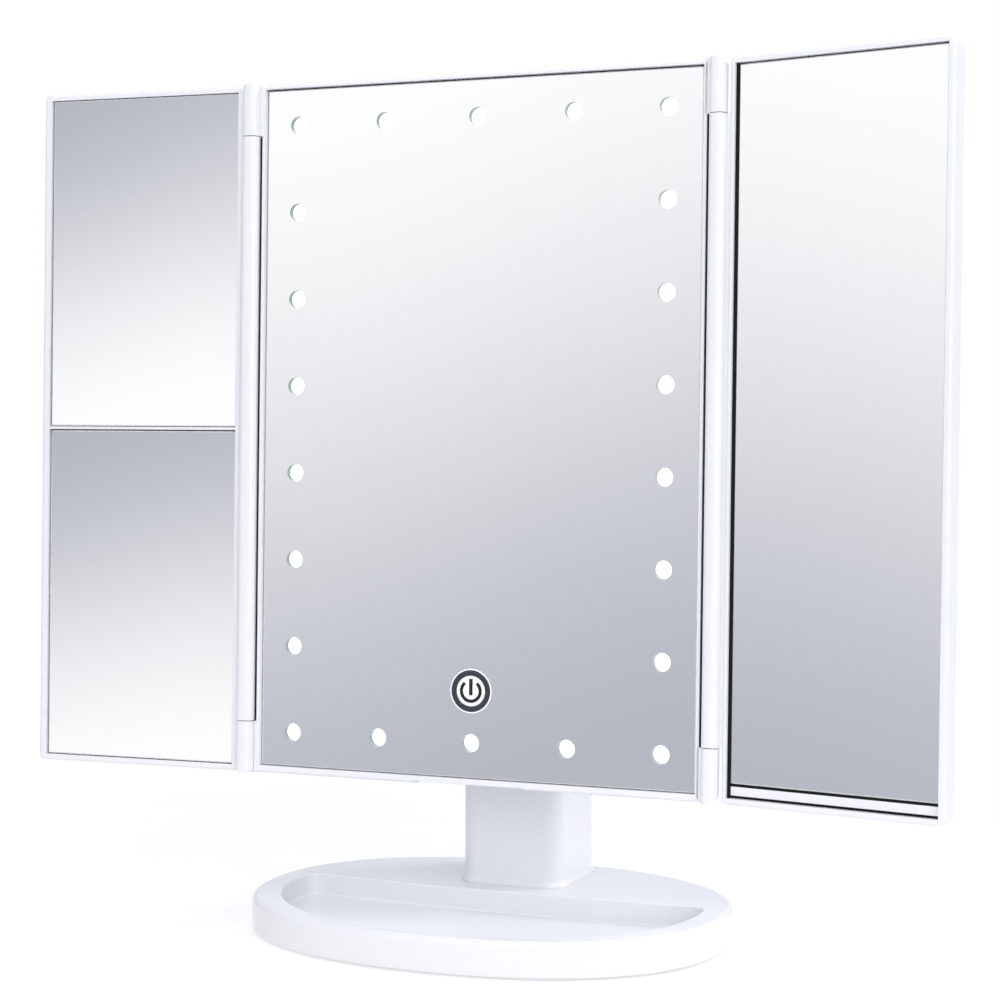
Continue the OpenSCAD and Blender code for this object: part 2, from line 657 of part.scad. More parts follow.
// outer frame of a wing in hinge coordinates, with its hinge barrel: inner edge s0, outer edge w,
// outer corners of radius rc
module wing_body(s0, w, rc) {
    difference() {
        union() {
            translate([0, wf + wing_t, 0]) rotate([90, 0, 0]) linear_extrude(height = wing_t) union() {
                translate([s0, 0]) square([w - s0 - rc, panel_h]);
                translate([s0 + 1, rc]) square([w - s0 - 1, panel_h - 2 * rc]);
                for (z = [rc, panel_h - rc]) translate([w - rc, z]) circle(rc, $fn = 48);
            }
            zcyl(0, 0, barrel_r, knuckle_len + 0.3, panel_h - knuckle_len - 0.3, 48);
            box([0, wf, knuckle_len + 0.3], [s0 + 0.5, wf + 2.0, panel_h - knuckle_len - 0.3]);
        }
        zcyl(0, 0, 1.06, 0, panel_h, 32);
        // rear pocket for the back plate
        box([s0 + 1.5, wf + wing_t - 1.6, 1.6], [w - 1.6, wf + wing_t + 1, panel_h - 1.6]);
    }
}

module left_wing_frame() {
    color([0.96, 0.96, 0.97]) left_place() difference() {
        wing_body(left_s0, left_wing_w, 2);
        for (z0 = [wing_z, mid_z + divider_t / 2])
            box([left_x0, -1, z0], [left_x1, 10, z0 + mid_z - divider_t / 2 - wing_z]);
    }
}

module wing_back_plate(s0, w) {
    box([s0 + 1.65, wf + wing_t - 1.55, 1.75], [w - 1.75, wf + wing_t, panel_h - 1.75]);
}

module left_wing_back() {
    y1 = wf + wing_t - 1.5;
    x0 = left_x0 + 0.4;
    x1 = left_x1 - 0.4;
    color([0.95, 0.95, 0.96]) left_place() union() {
        wing_back_plate(left_s0, left_wing_w);
        // corner posts that carry the curved mirrors
        for (z = [wing_z + 0.4, mid_z - divider_t / 2 - 4.4, mid_z + divider_t / 2 + 0.4, panel_h - wing_z - 4.4])
            for (x = [x0, x1 - 4]) box([x, wf + 2.35, z], [x + 4, y1, z + 4]);
    }
}

// bent mirror sheet: centred at height zc, concave towards the user
module mag_mirror(zc, R) {
    d = sqrt(mag_w * mag_w + mag_h * mag_h) / 2;
    sag = R - sqrt(R * R - d * d);
    yc = wf + 0.6 + sag - R;
    intersection() {
        box([mag_s - mag_w / 2, wf + 0.3, zc - mag_h / 2], [mag_s + mag_w / 2, wf + 8, zc + mag_h / 2]);
        difference() {
            translate([mag_s, yc, zc]) sphere(r = R + 1.1, $fn = 200);
            translate([mag_s, yc, zc]) sphere(r = R, $fn = 200);
        }
    }
}

module upper_magnifying_mirror() {
    color([0.8, 0.84, 0.88]) left_place() mag_mirror(mid_z + divider_t / 2 + 0.2 + mag_h / 2, mag_r_upper);
}

module lower_magnifying_mirror() {
    color([0.8, 0.84, 0.88]) left_place() mag_mirror(mid_z - divider_t / 2 - 0.2 - mag_h / 2, mag_r_lower);
}

module left_mirror_pads() {
    color([0.3, 0.3, 0.32]) left_place() for (k = [0, 1]) {
        R = k == 0 ? mag_r_upper : mag_r_lower;
        d = sqrt(mag_w * mag_w + mag_h * mag_h) / 2;
        sag = R - sqrt(R * R - d * d);
        zc = k == 0 ? mid_z + divider_t / 2 + 0.2 + mag_h / 2 : mid_z - divider_t / 2 - 0.2 - mag_h / 2;
        ycyl(mag_s, zc, 9, wf + 0.6 + sag + 1.15, wf + wing_t - 1.6, 48);
    }
}

module right_wing_frame() {
    color([0.96, 0.96, 0.97]) right_place() difference() {
        wing_body(right_s0, right_wing_w, 3);
        box([right_x0, -1, wing_z], [right_x1, wf + 3.4, panel_h - wing_z]);
        box([right_x0 + 3, 0, wing_z + 5.6], [right_x1 - 3, 10, panel_h - wing_z - 3]);
    }
}

module right_wing_back() {
    color([0.95, 0.95, 0.96]) right_place() wing_back_plate(right_s0, right_wing_w);
}

module right_mirror() {
    color([0.8, 0.84, 0.88]) right_place()
        box([right_x0 + 1.0, wf + 1.4, wing_z + 4.6], [right_x1 - 0.2, wf + 2.9, panel_h - wing_z - 0.2]);
}

module right_mirror_gasket() {
    color([0.08, 0.08, 0.09]) right_place() difference() {
        box([right_x0 + 0.1, wf + 0.9, wing_z + 0.1], [right_x1 - 0.1, wf + 3.4, panel_h - wing_z - 0.1]);
        // seat of the mirror and, through it, the opening behind
        box([right_x0 + 0.9, 0, wing_z + 4.5], [right_x1 + 1, wf + 2.9, panel_h]);
        box([right_x0 + 3.2, 0, wing_z + 5.8], [right_x1 - 3.2, 10, panel_h - wing_z - 3.2]);
        // seat of the strip below the mirror
        box([right_x0 + 0.9, 0, -1], [right_x1 + 1, wf + 2.9, wing_z + 3.9]);
    }
}

module right_mirror_spacer() {
    color([0.96, 0.96, 0.97]) right_place()
        box([right_x0 + 1.0, wf + 1.4, wing_z + 1.1], [right_x1 - 0.2, wf + 2.9, wing_z + 3.8]);
}

base_shell();
base_bottom_cover();
base_ballast_plate();
anti_slip_pad();
base_cover_screws();
column_shell();
column_screws();
column_cap_neck();
neck_screws();
battery_holder();
battery_cells();
battery_contact_plates();
battery_contact_springs();
battery_door();
usb_socket();
usb_board();
column_leads();
tilt_shaft();
tilt_friction_washers();
tilt_lock_nuts();
centre_frame();
centre_rear_cover();
rear_cover_screws();
centre_mirror();
mirror_tape();
lamp_lenses();
lamp_leds();
lamp_board();
touch_key();
touch_board();
control_board();
control_components();
head_leads();
hinge_pins();
left_wing_frame();
left_wing_back();
upper_magnifying_mirror();
lower_magnifying_mirror();
left_mirror_pads();
right_wing_frame();
right_wing_back();
right_mirror();
right_mirror_gasket();
right_mirror_spacer();
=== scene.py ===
import math

import bmesh
import bpy
import numpy as np
from mathutils import Matrix, Vector


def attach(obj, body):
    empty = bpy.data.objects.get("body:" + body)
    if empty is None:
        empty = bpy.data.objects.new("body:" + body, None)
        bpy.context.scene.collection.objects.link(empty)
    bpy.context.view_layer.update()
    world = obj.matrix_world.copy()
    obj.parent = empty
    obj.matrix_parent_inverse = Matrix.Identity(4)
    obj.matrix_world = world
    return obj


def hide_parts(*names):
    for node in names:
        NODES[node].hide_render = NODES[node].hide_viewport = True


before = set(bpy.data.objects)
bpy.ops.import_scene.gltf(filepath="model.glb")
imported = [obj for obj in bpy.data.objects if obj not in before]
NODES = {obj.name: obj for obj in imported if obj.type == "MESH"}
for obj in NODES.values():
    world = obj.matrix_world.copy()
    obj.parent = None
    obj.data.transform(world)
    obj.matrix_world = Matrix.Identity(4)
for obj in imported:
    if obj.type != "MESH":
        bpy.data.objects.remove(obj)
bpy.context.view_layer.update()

# ---------------------------------------------------------------------------
# frames of the model (millimetres, the same numbers as the construction model)
# ---------------------------------------------------------------------------
MM = Matrix.Scale(0.001, 4)
HEAD = (Matrix.Translation((0, 9, 101)) @ Matrix.Rotation(math.radians(-1.84), 4, "X")
        @ Matrix.Translation((0, -27, -48.5)))
LEFT = (HEAD @ Matrix.Translation((-84.7, -0.5, 0)) @ Matrix.Rotation(math.radians(3.4), 4, "Z")
        @ Matrix.Scale(-1, 4, (1, 0, 0)))
RIGHT = HEAD @ Matrix.Translation((84.7, -0.5, 0)) @ Matrix.Rotation(math.radians(-11.8), 4, "Z")
STAND = Matrix.Identity(4)

BASE_A, BASE_B, BASE_H = 84.3, 62.9, 12.5
TRAY_A, TRAY_B, TRAY_BACK, TRAY_MID, TRAY_FLOOR = 74.8, 58.8, 10.9, 7.4, 5.0
COL_W, COL_Y0, COL_Y1, COL_R, COL_TOP = 37.6, 17.8, 56.2, 6.0, 92.0
FRAME_HW, PANEL_H, FRAME_D, COVER_Y = 80.6, 240.0, 8.4, 10.2
POCKET_X, POCKET_Z, POCKET_ZT, GLASS_Y, GLASS_T = 79.5, 2.5, 1.75, 1.5, 2.0
LAMP_R, LAMP_X, LAMP_DX, LAMP_DZ = 3.1, 67.2, 34.4, 30.14
TOUCH_Z, TOUCH_R = 32.1, 7.65
HINGE_X, HINGE_Y, BARREL_R, KNUCKLE = 84.7, 0.5, 2.85, 17.9
WING_T, WING_Z = 7.3, 2.2
# inner edge, mirror opening and outer edge of each wing, measured from its hinge axis
L_S0, L_X0, L_X1, L_W = 3.15, 5.3, 79.25, 82.1
R_S0, R_X0, R_X1, R_W = 3.6, 5.4, 78.1, 80.3
MID_Z, DIV, DIV_Z = 120.0, 0.95, 120.1
ROWS = [MID_Z + (j - 3.5) * LAMP_DZ for j in range(8)]
LAMPS = ([(s * LAMP_X, z) for s in (-1, 1) for z in ROWS]
         + [(i * LAMP_DX, ROWS[j]) for i in (-1, 0, 1) for j in (0, 7)])
COVER_SCREWS = [(s * 73, z) for s in (-1, 1) for z in (12, 120, 228)]

# ---------------------------------------------------------------------------
# camera: solved from the photograph
# ---------------------------------------------------------------------------
cam_data = bpy.data.cameras.new("camera")
cam_data.lens = 80.748
cam_data.sensor_width = 36.0
cam_data.clip_start = 0.01
cam_data.clip_end = 50.0
cam = bpy.data.objects.new("camera", cam_data)
cam.location = (0.29192, -0.71047, 0.18184)
cam.rotation_euler = (math.radians(90 - 2.4328), 0, math.radians(22.0806))
bpy.context.scene.collection.objects.link(cam)
bpy.context.scene.camera = cam

# ---------------------------------------------------------------------------
# materials
# ---------------------------------------------------------------------------


def new_mat(name):
    m = bpy.data.materials.new(name)
    m.use_nodes = True
    nt = m.node_tree
    nt.nodes.clear()
    out = nt.nodes.new("ShaderNodeOutputMaterial")
    b = nt.nodes.new("ShaderNodeBsdfPrincipled")
    nt.links.new(b.outputs[0], out.inputs["Surface"])
    return m, nt, b


def coords(nt, scale):
    tc = nt.nodes.new("ShaderNodeTexCoord")
    mp = nt.nodes.new("ShaderNodeMapping")
    mp.inputs["Scale"].default_value = scale if hasattr(scale, "__len__") else (scale,) * 3
    nt.links.new(tc.outputs["Object"], mp.inputs["Vector"])
    return mp.outputs["Vector"]


def noise(nt, vec, scale, detail=3.0, rough=0.55):
    n = nt.nodes.new("ShaderNodeTexNoise")
    n.inputs["Scale"].default_value = scale
    n.inputs["Detail"].default_value = detail
    n.inputs["Roughness"].default_value = rough
    nt.links.new(vec, n.inputs["Vector"])
    return n.outputs["Fac"]


def ramp(nt, fac, lo, hi, p0=0.3, p1=0.7):
    r = nt.nodes.new("ShaderNodeMapRange")
    r.inputs["From Min"].default_value = p0
    r.inputs["From Max"].default_value = p1
    r.inputs["To Min"].default_value = lo
    r.inputs["To Max"].default_value = hi
    nt.links.new(fac, r.inputs["Value"])
    return r.outputs["Result"]


def mix_color(nt, fac, a, b):
    m = nt.nodes.new("ShaderNodeMix")
    m.data_type = "RGBA"
    if hasattr(fac, "is_output"):
        nt.links.new(fac, m.inputs["Factor"])
    else:
        m.inputs["Factor"].default_value = fac
    for v, k in ((a, 6), (b, 7)):
        if hasattr(v, "is_output"):
            nt.links.new(v, m.inputs[k])
        else:
            m.inputs[k].default_value = (*v, 1)
    return m.outputs[2]


def bump(nt, b, height, dist, strength=1.0, prev=None):
    n = nt.nodes.new("ShaderNodeBump")
    n.inputs["Distance"].default_value = dist
    n.inputs["Strength"].default_value = strength
    nt.links.new(height, n.inputs["Height"])
    if prev is not None:
        nt.links.new(prev, n.inputs["Normal"])
    nt.links.new(n.outputs["Normal"], b.inputs["Normal"])
    return n.outputs["Normal"]


def plastic(name, color, dark, rough=(0.2, 0.3), grain=1400.0, grain_h=2.5e-7, wave_h=3e-6, coat=0.0,
            spec=0.5, fleck=0.012):
    """Moulded plastic: faint tone drift, fine mould grain and a slow sink-mark waviness."""
    m, nt, b = new_mat(name)
    v = coords(nt, 1.0)
    slow = noise(nt, v, 22.0, 2.0)
    fine = noise(nt, v, grain, 2.0, 0.5)
    wave = noise(nt, v, 45.0, 1.0)
    mottle = noise(nt, v, 260.0, 3.0, 0.6)
    tone = mix_color(nt, ramp(nt, slow, 0.0, 1.0, 0.35, 0.65), dark, color)
    tone = mix_color(nt, ramp(nt, mottle, 0.0, 1.0, 0.55, 0.85), tone, tuple((1 - fleck) * c for c in dark))
    nt.links.new(tone, b.inputs["Base Color"])
    mid = 0.5 * (rough[0] + rough[1])
    nt.links.new(ramp(nt, slow, mid - 0.2 * (mid - rough[0]), mid + 0.2 * (rough[1] - mid)), b.inputs["Roughness"])
    b.inputs["Specular IOR Level"].default_value = spec
    b.inputs["Coat Weight"].default_value = coat
    b.inputs["Coat Roughness"].default_value = 0.12
    n1 = bump(nt, b, wave, wave_h)
    bump(nt, b, fine, grain_h, 1.0, n1)
    return m


def metal(name, color, rough=(0.18, 0.32), scratch=(900, 900, 60), height=3e-6, metallic=1.0):
    m, nt, b = new_mat(name)
    v = coords(nt, scratch)
    s = noise(nt, v, 1.0, 4.0, 0.65)
    blot = noise(nt, coords(nt, 1.0), 120.0, 3.0)
    nt.links.new(mix_color(nt, ramp(nt, blot, 0.0, 1.0), tuple(0.82 * c for c in color), color),
                 b.inputs["Base Color"])
    b.inputs["Metallic"].default_value = metallic
    nt.links.new(ramp(nt, s, rough[0], rough[1]), b.inputs["Roughness"])
    bump(nt, b, s, height)
    return m


def soft_black(name, color, rough=(0.75, 0.95), cell=1600.0, height=3e-5):
    m, nt, b = new_mat(name)
    v = coords(nt, 1.0)
    vo = nt.nodes.new("ShaderNodeTexVoronoi")
    vo.inputs["Scale"].default_value = cell
    nt.links.new(v, vo.inputs["Vector"])
    n = noise(nt, v, cell * 0.5, 2.0)
    nt.links.new(mix_color(nt, ramp(nt, n, 0.0, 1.0), tuple(0.6 * c for c in color), color), b.inputs["Base Color"])
    nt.links.new(ramp(nt, n, rough[0], rough[1]), b.inputs["Roughness"])
    b.inputs["Specular IOR Level"].default_value = 0.25
    bump(nt, b, vo.outputs["Distance"], height)
    return m


def mirror_mat(name, tint=(0.965, 0.968, 0.972)):
    """Silvered glass: almost perfect reflection, with a trace of haze that varies slowly."""
    m, nt, b = new_mat(name)
    v = coords(nt, 1.0)
    haze = noise(nt, v, 30.0, 2.0)
    nt.links.new(mix_color(nt, ramp(nt, haze, 0.0, 1.0), tuple(0.994 * c for c in tint), tint), b.inputs["Base Color"])
    b.inputs["Metallic"].default_value = 1.0
    nt.links.new(ramp(nt, haze, 0.004, 0.012), b.inputs["Roughness"])
    return m


def glass_edge_mat(name, color=(0.50, 0.60, 0.585)):
    """Cut edge of the glass, seen as a pale green-grey band."""
    m, nt, b = new_mat(name)
    v = coords(nt, 1.0)
    n = noise(nt, v, 500.0, 3.0)
    nt.links.new(mix_color(nt, ramp(nt, n, 0.0, 1.0), tuple(0.8 * c for c in color), color), b.inputs["Base Color"])
    nt.links.new(ramp(nt, n, 0.12, 0.3), b.inputs["Roughness"])
    b.inputs["IOR"].default_value = 1.52
    bump(nt, b, n, 6e-6)
    return m


def lamp_mat(name, strength, color=(1.0, 1.0, 0.985), glow=True):
    m, nt, b = new_mat(name)
    v = coords(nt, 1.0)
    n = noise(nt, v, 900.0, 2.0)
    nt.links.new(mix_color(nt, ramp(nt, n, 0.0, 1.0), (0.93, 0.94, 0.93), (0.97, 0.97, 0.96)), b.inputs["Base Color"])
    nt.links.new(ramp(nt, n, 0.3, 0.45), b.inputs["Roughness"])
    b.inputs["Emission Color"].default_value = (*color, 1)
    b.inputs["Emission Strength"].default_value = strength
    bump(nt, b, n, 8e-6)
    return m


def board_mat(name, mask, copper, trace=True):
    """Solder mask over copper tracks, with tin pads showing."""
    m, nt, b = new_mat(name)
    v = coords(nt, 1.0)
    br = nt.nodes.new("ShaderNodeTexBrick")
    br.inputs["Scale"].default_value = 160.0
    br.inputs["Mortar Size"].default_value = 0.012
    br.inputs["Color1"].default_value = (*mask, 1)
    br.inputs["Color2"].default_value = (*(0.85 * c for c in mask), 1)
    br.inputs["Mortar"].default_value = (*copper, 1)
    nt.links.new(v, br.inputs["Vector"])
    n = noise(nt, v, 300.0, 2.0)
    nt.links.new(mix_color(nt, ramp(nt, n, 0.0, 0.25), br.outputs["Color"], tuple(0.7 * c for c in mask)),
                 b.inputs["Base Color"])
    nt.links.new(ramp(nt, n, 0.25, 0.45), b.inputs["Roughness"])
    bump(nt, b, br.outputs["Fac"], 2e-5)
    return m


WHITE = plastic("white_gloss_abs", (0.76, 0.766, 0.785), (0.75, 0.757, 0.778), rough=(0.14, 0.20))
WHITE_FRAME = plastic("white_frame_abs", (0.81, 0.814, 0.83), (0.80, 0.805, 0.823), rough=(0.16, 0.24))
WHITE_SATIN = plastic("white_satin_abs", (0.79, 0.80, 0.825), (0.77, 0.78, 0.81), rough=(0.40, 0.52), grain=2200.0,
                      grain_h=1.6e-6, wave_h=2e-6)
COLUMN_WHITE = plastic("white_column_abs", (0.80, 0.81, 0.835), (0.785, 0.795, 0.825), rough=(0.24, 0.34), grain=1500.0,
                       grain_h=6e-7)
WHITE_INSIDE = plastic("white_inner_abs", (0.74, 0.75, 0.78), (0.72, 0.73, 0.76), rough=(0.45, 0.6))
PRINT_WHITE = plastic("white_print", (0.93, 0.935, 0.945), (0.915, 0.92, 0.935), rough=(0.25, 0.32))
PRINT_BLACK = plastic("black_print", (0.006, 0.006, 0.008), (0.004, 0.004, 0.005), rough=(0.28, 0.38))
SLATE = plastic("slate_ring", (0.022, 0.030, 0.045), (0.017, 0.024, 0.037), rough=(0.16, 0.24), spec=0.7)
MIRROR = mirror_mat("silvered_glass")
GLASS_EDGE = glass_edge_mat("glass_edge")
# front chamfers of the glass: a near-white copy of the cut-edge colour, a painted highlight for the light the chamfer
# catches
GLASS_BEVEL_HIGHLIGHT = glass_edge_mat("glass_bevel_painted_highlight", (0.86, 0.87, 0.86))
# walls of the lamp holes: a dark copy of the cut-edge colour, painted shade inside the holes
HOLE_WALL_SHADE = glass_edge_mat("drilled_glass_painted_shade", (0.17, 0.24, 0.235))
# black foam; where it shows in the gaps round the mirrors, its black also stands in for the shade there
FOAM_AND_GAP_SHADE = soft_black("black_foam_and_gap_shade", (0.006, 0.006, 0.007))
GREY_FOAM = soft_black("grey_foam_tape", (0.045, 0.045, 0.05))
# dark grey for strips that stand in for the shade in narrow gaps
GAP_SHADE_GREY = soft_black("grey_gap_shade", (0.13, 0.13, 0.14))
RUBBER = soft_black("anti_slip_rubber", (0.02, 0.02, 0.022), rough=(0.55, 0.75), cell=900.0, height=6e-5)
DARK = plastic("black_moulding", (0.022, 0.022, 0.025), (0.015, 0.015, 0.017), rough=(0.4, 0.55), grain=1300.0, grain_h=3e-6)
STEEL = metal("plated_steel", (0.62, 0.63, 0.65))
ROLLED = metal("rolled_steel", (0.34, 0.34, 0.36), rough=(0.4, 0.6), scratch=(40, 900, 900), height=8e-6)
NICKEL = metal("nickel_contact", (0.72, 0.70, 0.66), rough=(0.15, 0.28))
BRASS = metal("brass_washer", (0.70, 0.52, 0.24), rough=(0.25, 0.4))
CELL = metal("cell_wrap", (0.10, 0.13, 0.11), rough=(0.3, 0.4), scratch=(30, 30, 700), metallic=0.35)
BOARD_G = board_mat("green_board", (0.01, 0.09, 0.035), (0.10, 0.22, 0.06))
BOARD_W = board_mat("white_board", (0.78, 0.80, 0.78), (0.62, 0.62, 0.55))
WIRE = plastic("lead_insulation", (0.42, 0.015, 0.01), (0.32, 0.01, 0.008), rough=(0.3, 0.4))
LAMP = lamp_mat("lamp_diffuser", 1.35)
LED_DIE = lamp_mat("led_package", 2.0)

# ---------------------------------------------------------------------------
# mesh helpers (millimetres)
# ---------------------------------------------------------------------------
DEFAULT_ANGLE = math.radians(32)


def obj_from(verts, faces, name="tmp"):
    me = bpy.data.meshes.new(name)
    me.from_pydata([tuple(v) for v in verts], [], [tuple(f) for f in faces])
    me.validate()
    bm = bmesh.new()
    bm.from_mesh(me)
    bmesh.ops.recalc_face_normals(bm, faces=bm.faces)
    bm.to_mesh(me)
    bm.free()
    o = bpy.data.objects.new(name, me)
    bpy.context.scene.collection.objects.link(o)
    return o


def apply_mods(o):
    dg = bpy.context.evaluated_depsgraph_get()
    dg.update()
    me = bpy.data.meshes.new_from_object(o.evaluated_get(dg))
    old = o.data
    o.modifiers.clear()
    o.data = me
    bpy.data.meshes.remove(old)
    return o


def kill(o):
    me = o.data
    bpy.data.objects.remove(o)
    if me.users == 0:
        bpy.data.meshes.remove(me)


def boolean(a, b, op="DIFFERENCE", keep=False):
    m = a.modifiers.new("b", "BOOLEAN")
    m.operation = op
    m.solver = "EXACT"
    m.object = b
    apply_mods(a)
    if not keep:
        kill(b)
    return a


def tidy(o, dist=0.002, dissolve=True):
    bm = bmesh.new()
    bm.from_mesh(o.data)
    bmesh.ops.remove_doubles(bm, verts=bm.verts, dist=dist)
    if dissolve:
        bmesh.ops.dissolve_limit(bm, angle_limit=math.radians(0.3), verts=bm.verts, edges=bm.edges)
    bmesh.ops.recalc_face_normals(bm, faces=bm.faces)
    bm.to_mesh(o.data)
    bm.free()
    return o


def bevel(o, width, segments=3, angle=30.0, harden=False):
    tidy(o)
    m = o.modifiers.new("v", "BEVEL")
    m.width = width
    m.segments = segments
    m.limit_method = "ANGLE"
    m.angle_limit = math.radians(angle)
    m.miter_outer = "MITER_ARC"
    m.use_clamp_overlap = True
    apply_mods(o)
    return o


def bevel_edges(o, width, segments, pick):
    """Bevels only the edges for which pick(midpoint, direction, edge) is true."""
    tidy(o)
    bm = bmesh.new()
    bm.from_mesh(o.data)
    es = []
    for e in bm.edges:
        if len(e.link_faces) != 2 or e.calc_face_angle(0) < math.radians(25):
            continue
        a, b = e.verts[0].co, e.verts[1].co
        if pick((a + b) / 2, (b - a).normalized(), e):
            es.append(e)
    bmesh.ops.bevel(bm, geom=es, offset=width, segments=segments, profile=0.5, affect="EDGES", clamp_overlap=True)
    bm.to_mesh(o.data)
    bm.free()
    return o


def box(x0, y0, z0, x1, y1, z1):
    v = [(x, y, z) for x in (x0, x1) for y in (y0, y1) for z in (z0, z1)]
    f = [(0, 1, 3, 2), (4, 6, 7, 5), (0, 4, 5, 1), (2, 3, 7, 6), (0, 2, 6, 4), (1, 5, 7, 3)]
    return obj_from(v, f)


def prism(outline, h0, h1, axis="Y"):
    """Solid over a closed outline. axis Z: outline is (x, y); axis Y: (x, z); axis X: (y, z)."""
    n = len(outline)

    def p(q, h):
        if axis == "Z":
            return (q[0], q[1], h)
        if axis == "Y":
            return (q[0], h, q[1])
        return (h, q[0], q[1])
    v = [p(q, h0) for q in outline] + [p(q, h1) for q in outline]
    f = [tuple(range(n)), tuple(range(2 * n - 1, n - 1, -1))]
    f += [(i, (i + 1) % n, n + (i + 1) % n, n + i) for i in range(n)]
    return obj_from(v, f)


def circle_pts(cx, cy, r, n=64, a0=0.0):
    return [(cx + r * math.cos(a0 + 2 * math.pi * i / n), cy + r * math.sin(a0 + 2 * math.pi * i / n)) for i in range(n)]


def rr(x0, y0, x1, y1, r, n=8):
    """Rounded rectangle; r is one radius or four, for (x0,y0), (x1,y0), (x1,y1), (x0,y1)."""
    rs = r if hasattr(r, "__len__") else (r,) * 4
    pts = []
    for (cx, cy, a), q in zip(((x0, y0, 180), (x1, y0, 270), (x1, y1, 0), (x0, y1, 90)), rs):
        sx, sy = (1 if cx == x0 else -1), (1 if cy == y0 else -1)
        ox, oy = cx + sx * q, cy + sy * q
        if q < 1e-6:
            pts.append((cx, cy))
            continue
        for i in range(n + 1):
            t = math.radians(a + 90 * i / n)
            pts.append((ox + q * math.cos(t), oy + q * math.sin(t)))
    return pts


def cyl(cx, cy, r, h0, h1, axis="Y", n=64):
    return prism(circle_pts(cx, cy, r, n), h0, h1, axis)


def bez(p0, p1, p2, p3, n=14):
    out = []
    for i in range(n + 1):
        t = i / n
        a, b, c, d = (1 - t) ** 3, 3 * t * (1 - t) ** 2, 3 * t * t * (1 - t), t ** 3
        out.append((a * p0[0] + b * p1[0] + c * p2[0] + d * p3[0], a * p0[1] + b * p1[1] + c * p2[1] + d * p3[1]))
    return out


def arc(cx, cy, r, a0, a1, n=12):
    return [(cx + r * math.cos(math.radians(a0 + (a1 - a0) * i / n)),
             cy + r * math.sin(math.radians(a0 + (a1 - a0) * i / n))) for i in range(n + 1)]


def offset(pts, d):
    """Closed outline (counter-clockwise) moved outwards by d along its normals."""
    p = np.array(pts)
    e = np.roll(p, -1, 0) - p
    e /= np.maximum(np.linalg.norm(e, axis=1, keepdims=True), 1e-9)
    nrm = np.stack([e[:, 1], -e[:, 0]], 1)
    m = nrm + np.roll(nrm, 1, 0)
    m /= np.maximum(np.linalg.norm(m, axis=1, keepdims=True), 1e-9)
    c = np.clip((m * nrm).sum(1, keepdims=True), 0.5, 1.0)
    return p + d * m / c


def loft(rings, cap0=True, cap1=True):
    """rings: closed rings of 3-D points, all of the same length."""
    n = len(rings[0])
    v = [tuple(q) for r in rings for q in r]
    f = []
    for k in range(len(rings) - 1):
        for i in range(n):
            j = (i + 1) % n
            f.append((k * n + i, k * n + j, (k + 1) * n + j, (k + 1) * n + i))
    if cap0:
        f.append(tuple(range(n - 1, -1, -1)))
    if cap1:
        f.append(tuple((len(rings) - 1) * n + i for i in range(n)))
    return obj_from(v, f)


def lathe(profile, n=48, axis="Y"):
    """profile: (radius, height) from the axis at the first point to the axis at the last."""
    v, rings = [], []
    for r, h in profile:
        if r < 1e-6:
            rings.append([len(v)])
            v.append((0, h, 0) if axis == "Y" else (0, 0, h) if axis == "Z" else (h, 0, 0))
        else:
            ids = []
            for i in range(n):
                t = 2 * math.pi * i / n
                ids.append(len(v))
                c, s = r * math.cos(t), r * math.sin(t)
                v.append((c, h, s) if axis == "Y" else (c, s, h) if axis == "Z" else (h, c, s))
            rings.append(ids)
    f = []
    for a, b in zip(rings, rings[1:]):
        if len(a) == 1 and len(b) == 1:
            continue
        for i in range(n):
            j = (i + 1) % n
            if len(a) == 1:
                f.append((a[0], b[j], b[i]))
            elif len(b) == 1:
                f.append((a[i], a[j], b[0]))
            else:
                f.append((a[i], a[j], b[j], b[i]))
    return obj_from(v, f)


def move(o, M):
    o.data.transform(M)
    if M.determinant() < 0:
        o.data.flip_normals()
    return o


def join(objs):
    bm = bmesh.new()
    for o in objs:
        bm.from_mesh(o.data)
    bm.to_mesh(objs[0].data)
    bm.free()
    for o in objs[1:]:
        kill(o)
    return objs[0]


def finish(o, name, M, body, mat, replaces=(), angle=35.0, smooth=True, weighted=True, dissolve=True):
    o.name = name
    o.data.name = name
    if dissolve:
        tidy(o, 0.0008)
    move(o, MM @ M)
    if isinstance(mat, (list, tuple)):
        if len(o.data.materials) == 0:
            for m in mat:
                o.data.materials.append(m)
    else:
        o.data.materials.clear()
        o.data.materials.append(mat)
    me = o.data
    me.polygons.foreach_set("use_smooth", [smooth] * len(me.polygons))
    if smooth:
        me.set_sharp_from_angle(angle=math.radians(angle))
        if weighted:
            w = o.modifiers.new("w", "WEIGHTED_NORMAL")
            w.keep_sharp = True
            w.weight = 80
            apply_mods(o)
    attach(o, body)
    if replaces:
        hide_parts(*replaces)
    return o


def assign_by(o, mats, pick):
    """Gives every face the material index that pick(centre, normal) returns."""
    o.data.materials.clear()
    for m in mats:
        o.data.materials.append(m)
    for p in o.data.polygons:
        p.material_index = pick(p.center, p.normal)
    return o


# ---------------------------------------------------------------------------
# base
# ---------------------------------------------------------------------------
NB = 320




def oval(a, b, n=NB, q=2.22):
    """Full oval with its points spread evenly along the edge; above q = 2 it is squarer than an ellipse."""
    def oc(v):
        return np.sign(v) * np.abs(v) ** (2 / q)
    t = np.linspace(0, 2 * math.pi, 4001)
    x, y = a * oc(np.cos(t)), b * oc(np.sin(t))
    s = np.concatenate([[0], np.cumsum(np.hypot(np.diff(x), np.diff(y)))])
    u = s[-1] * np.arange(n) / n
    return np.stack([np.interp(u, s, x), np.interp(u, s, y)], 1)


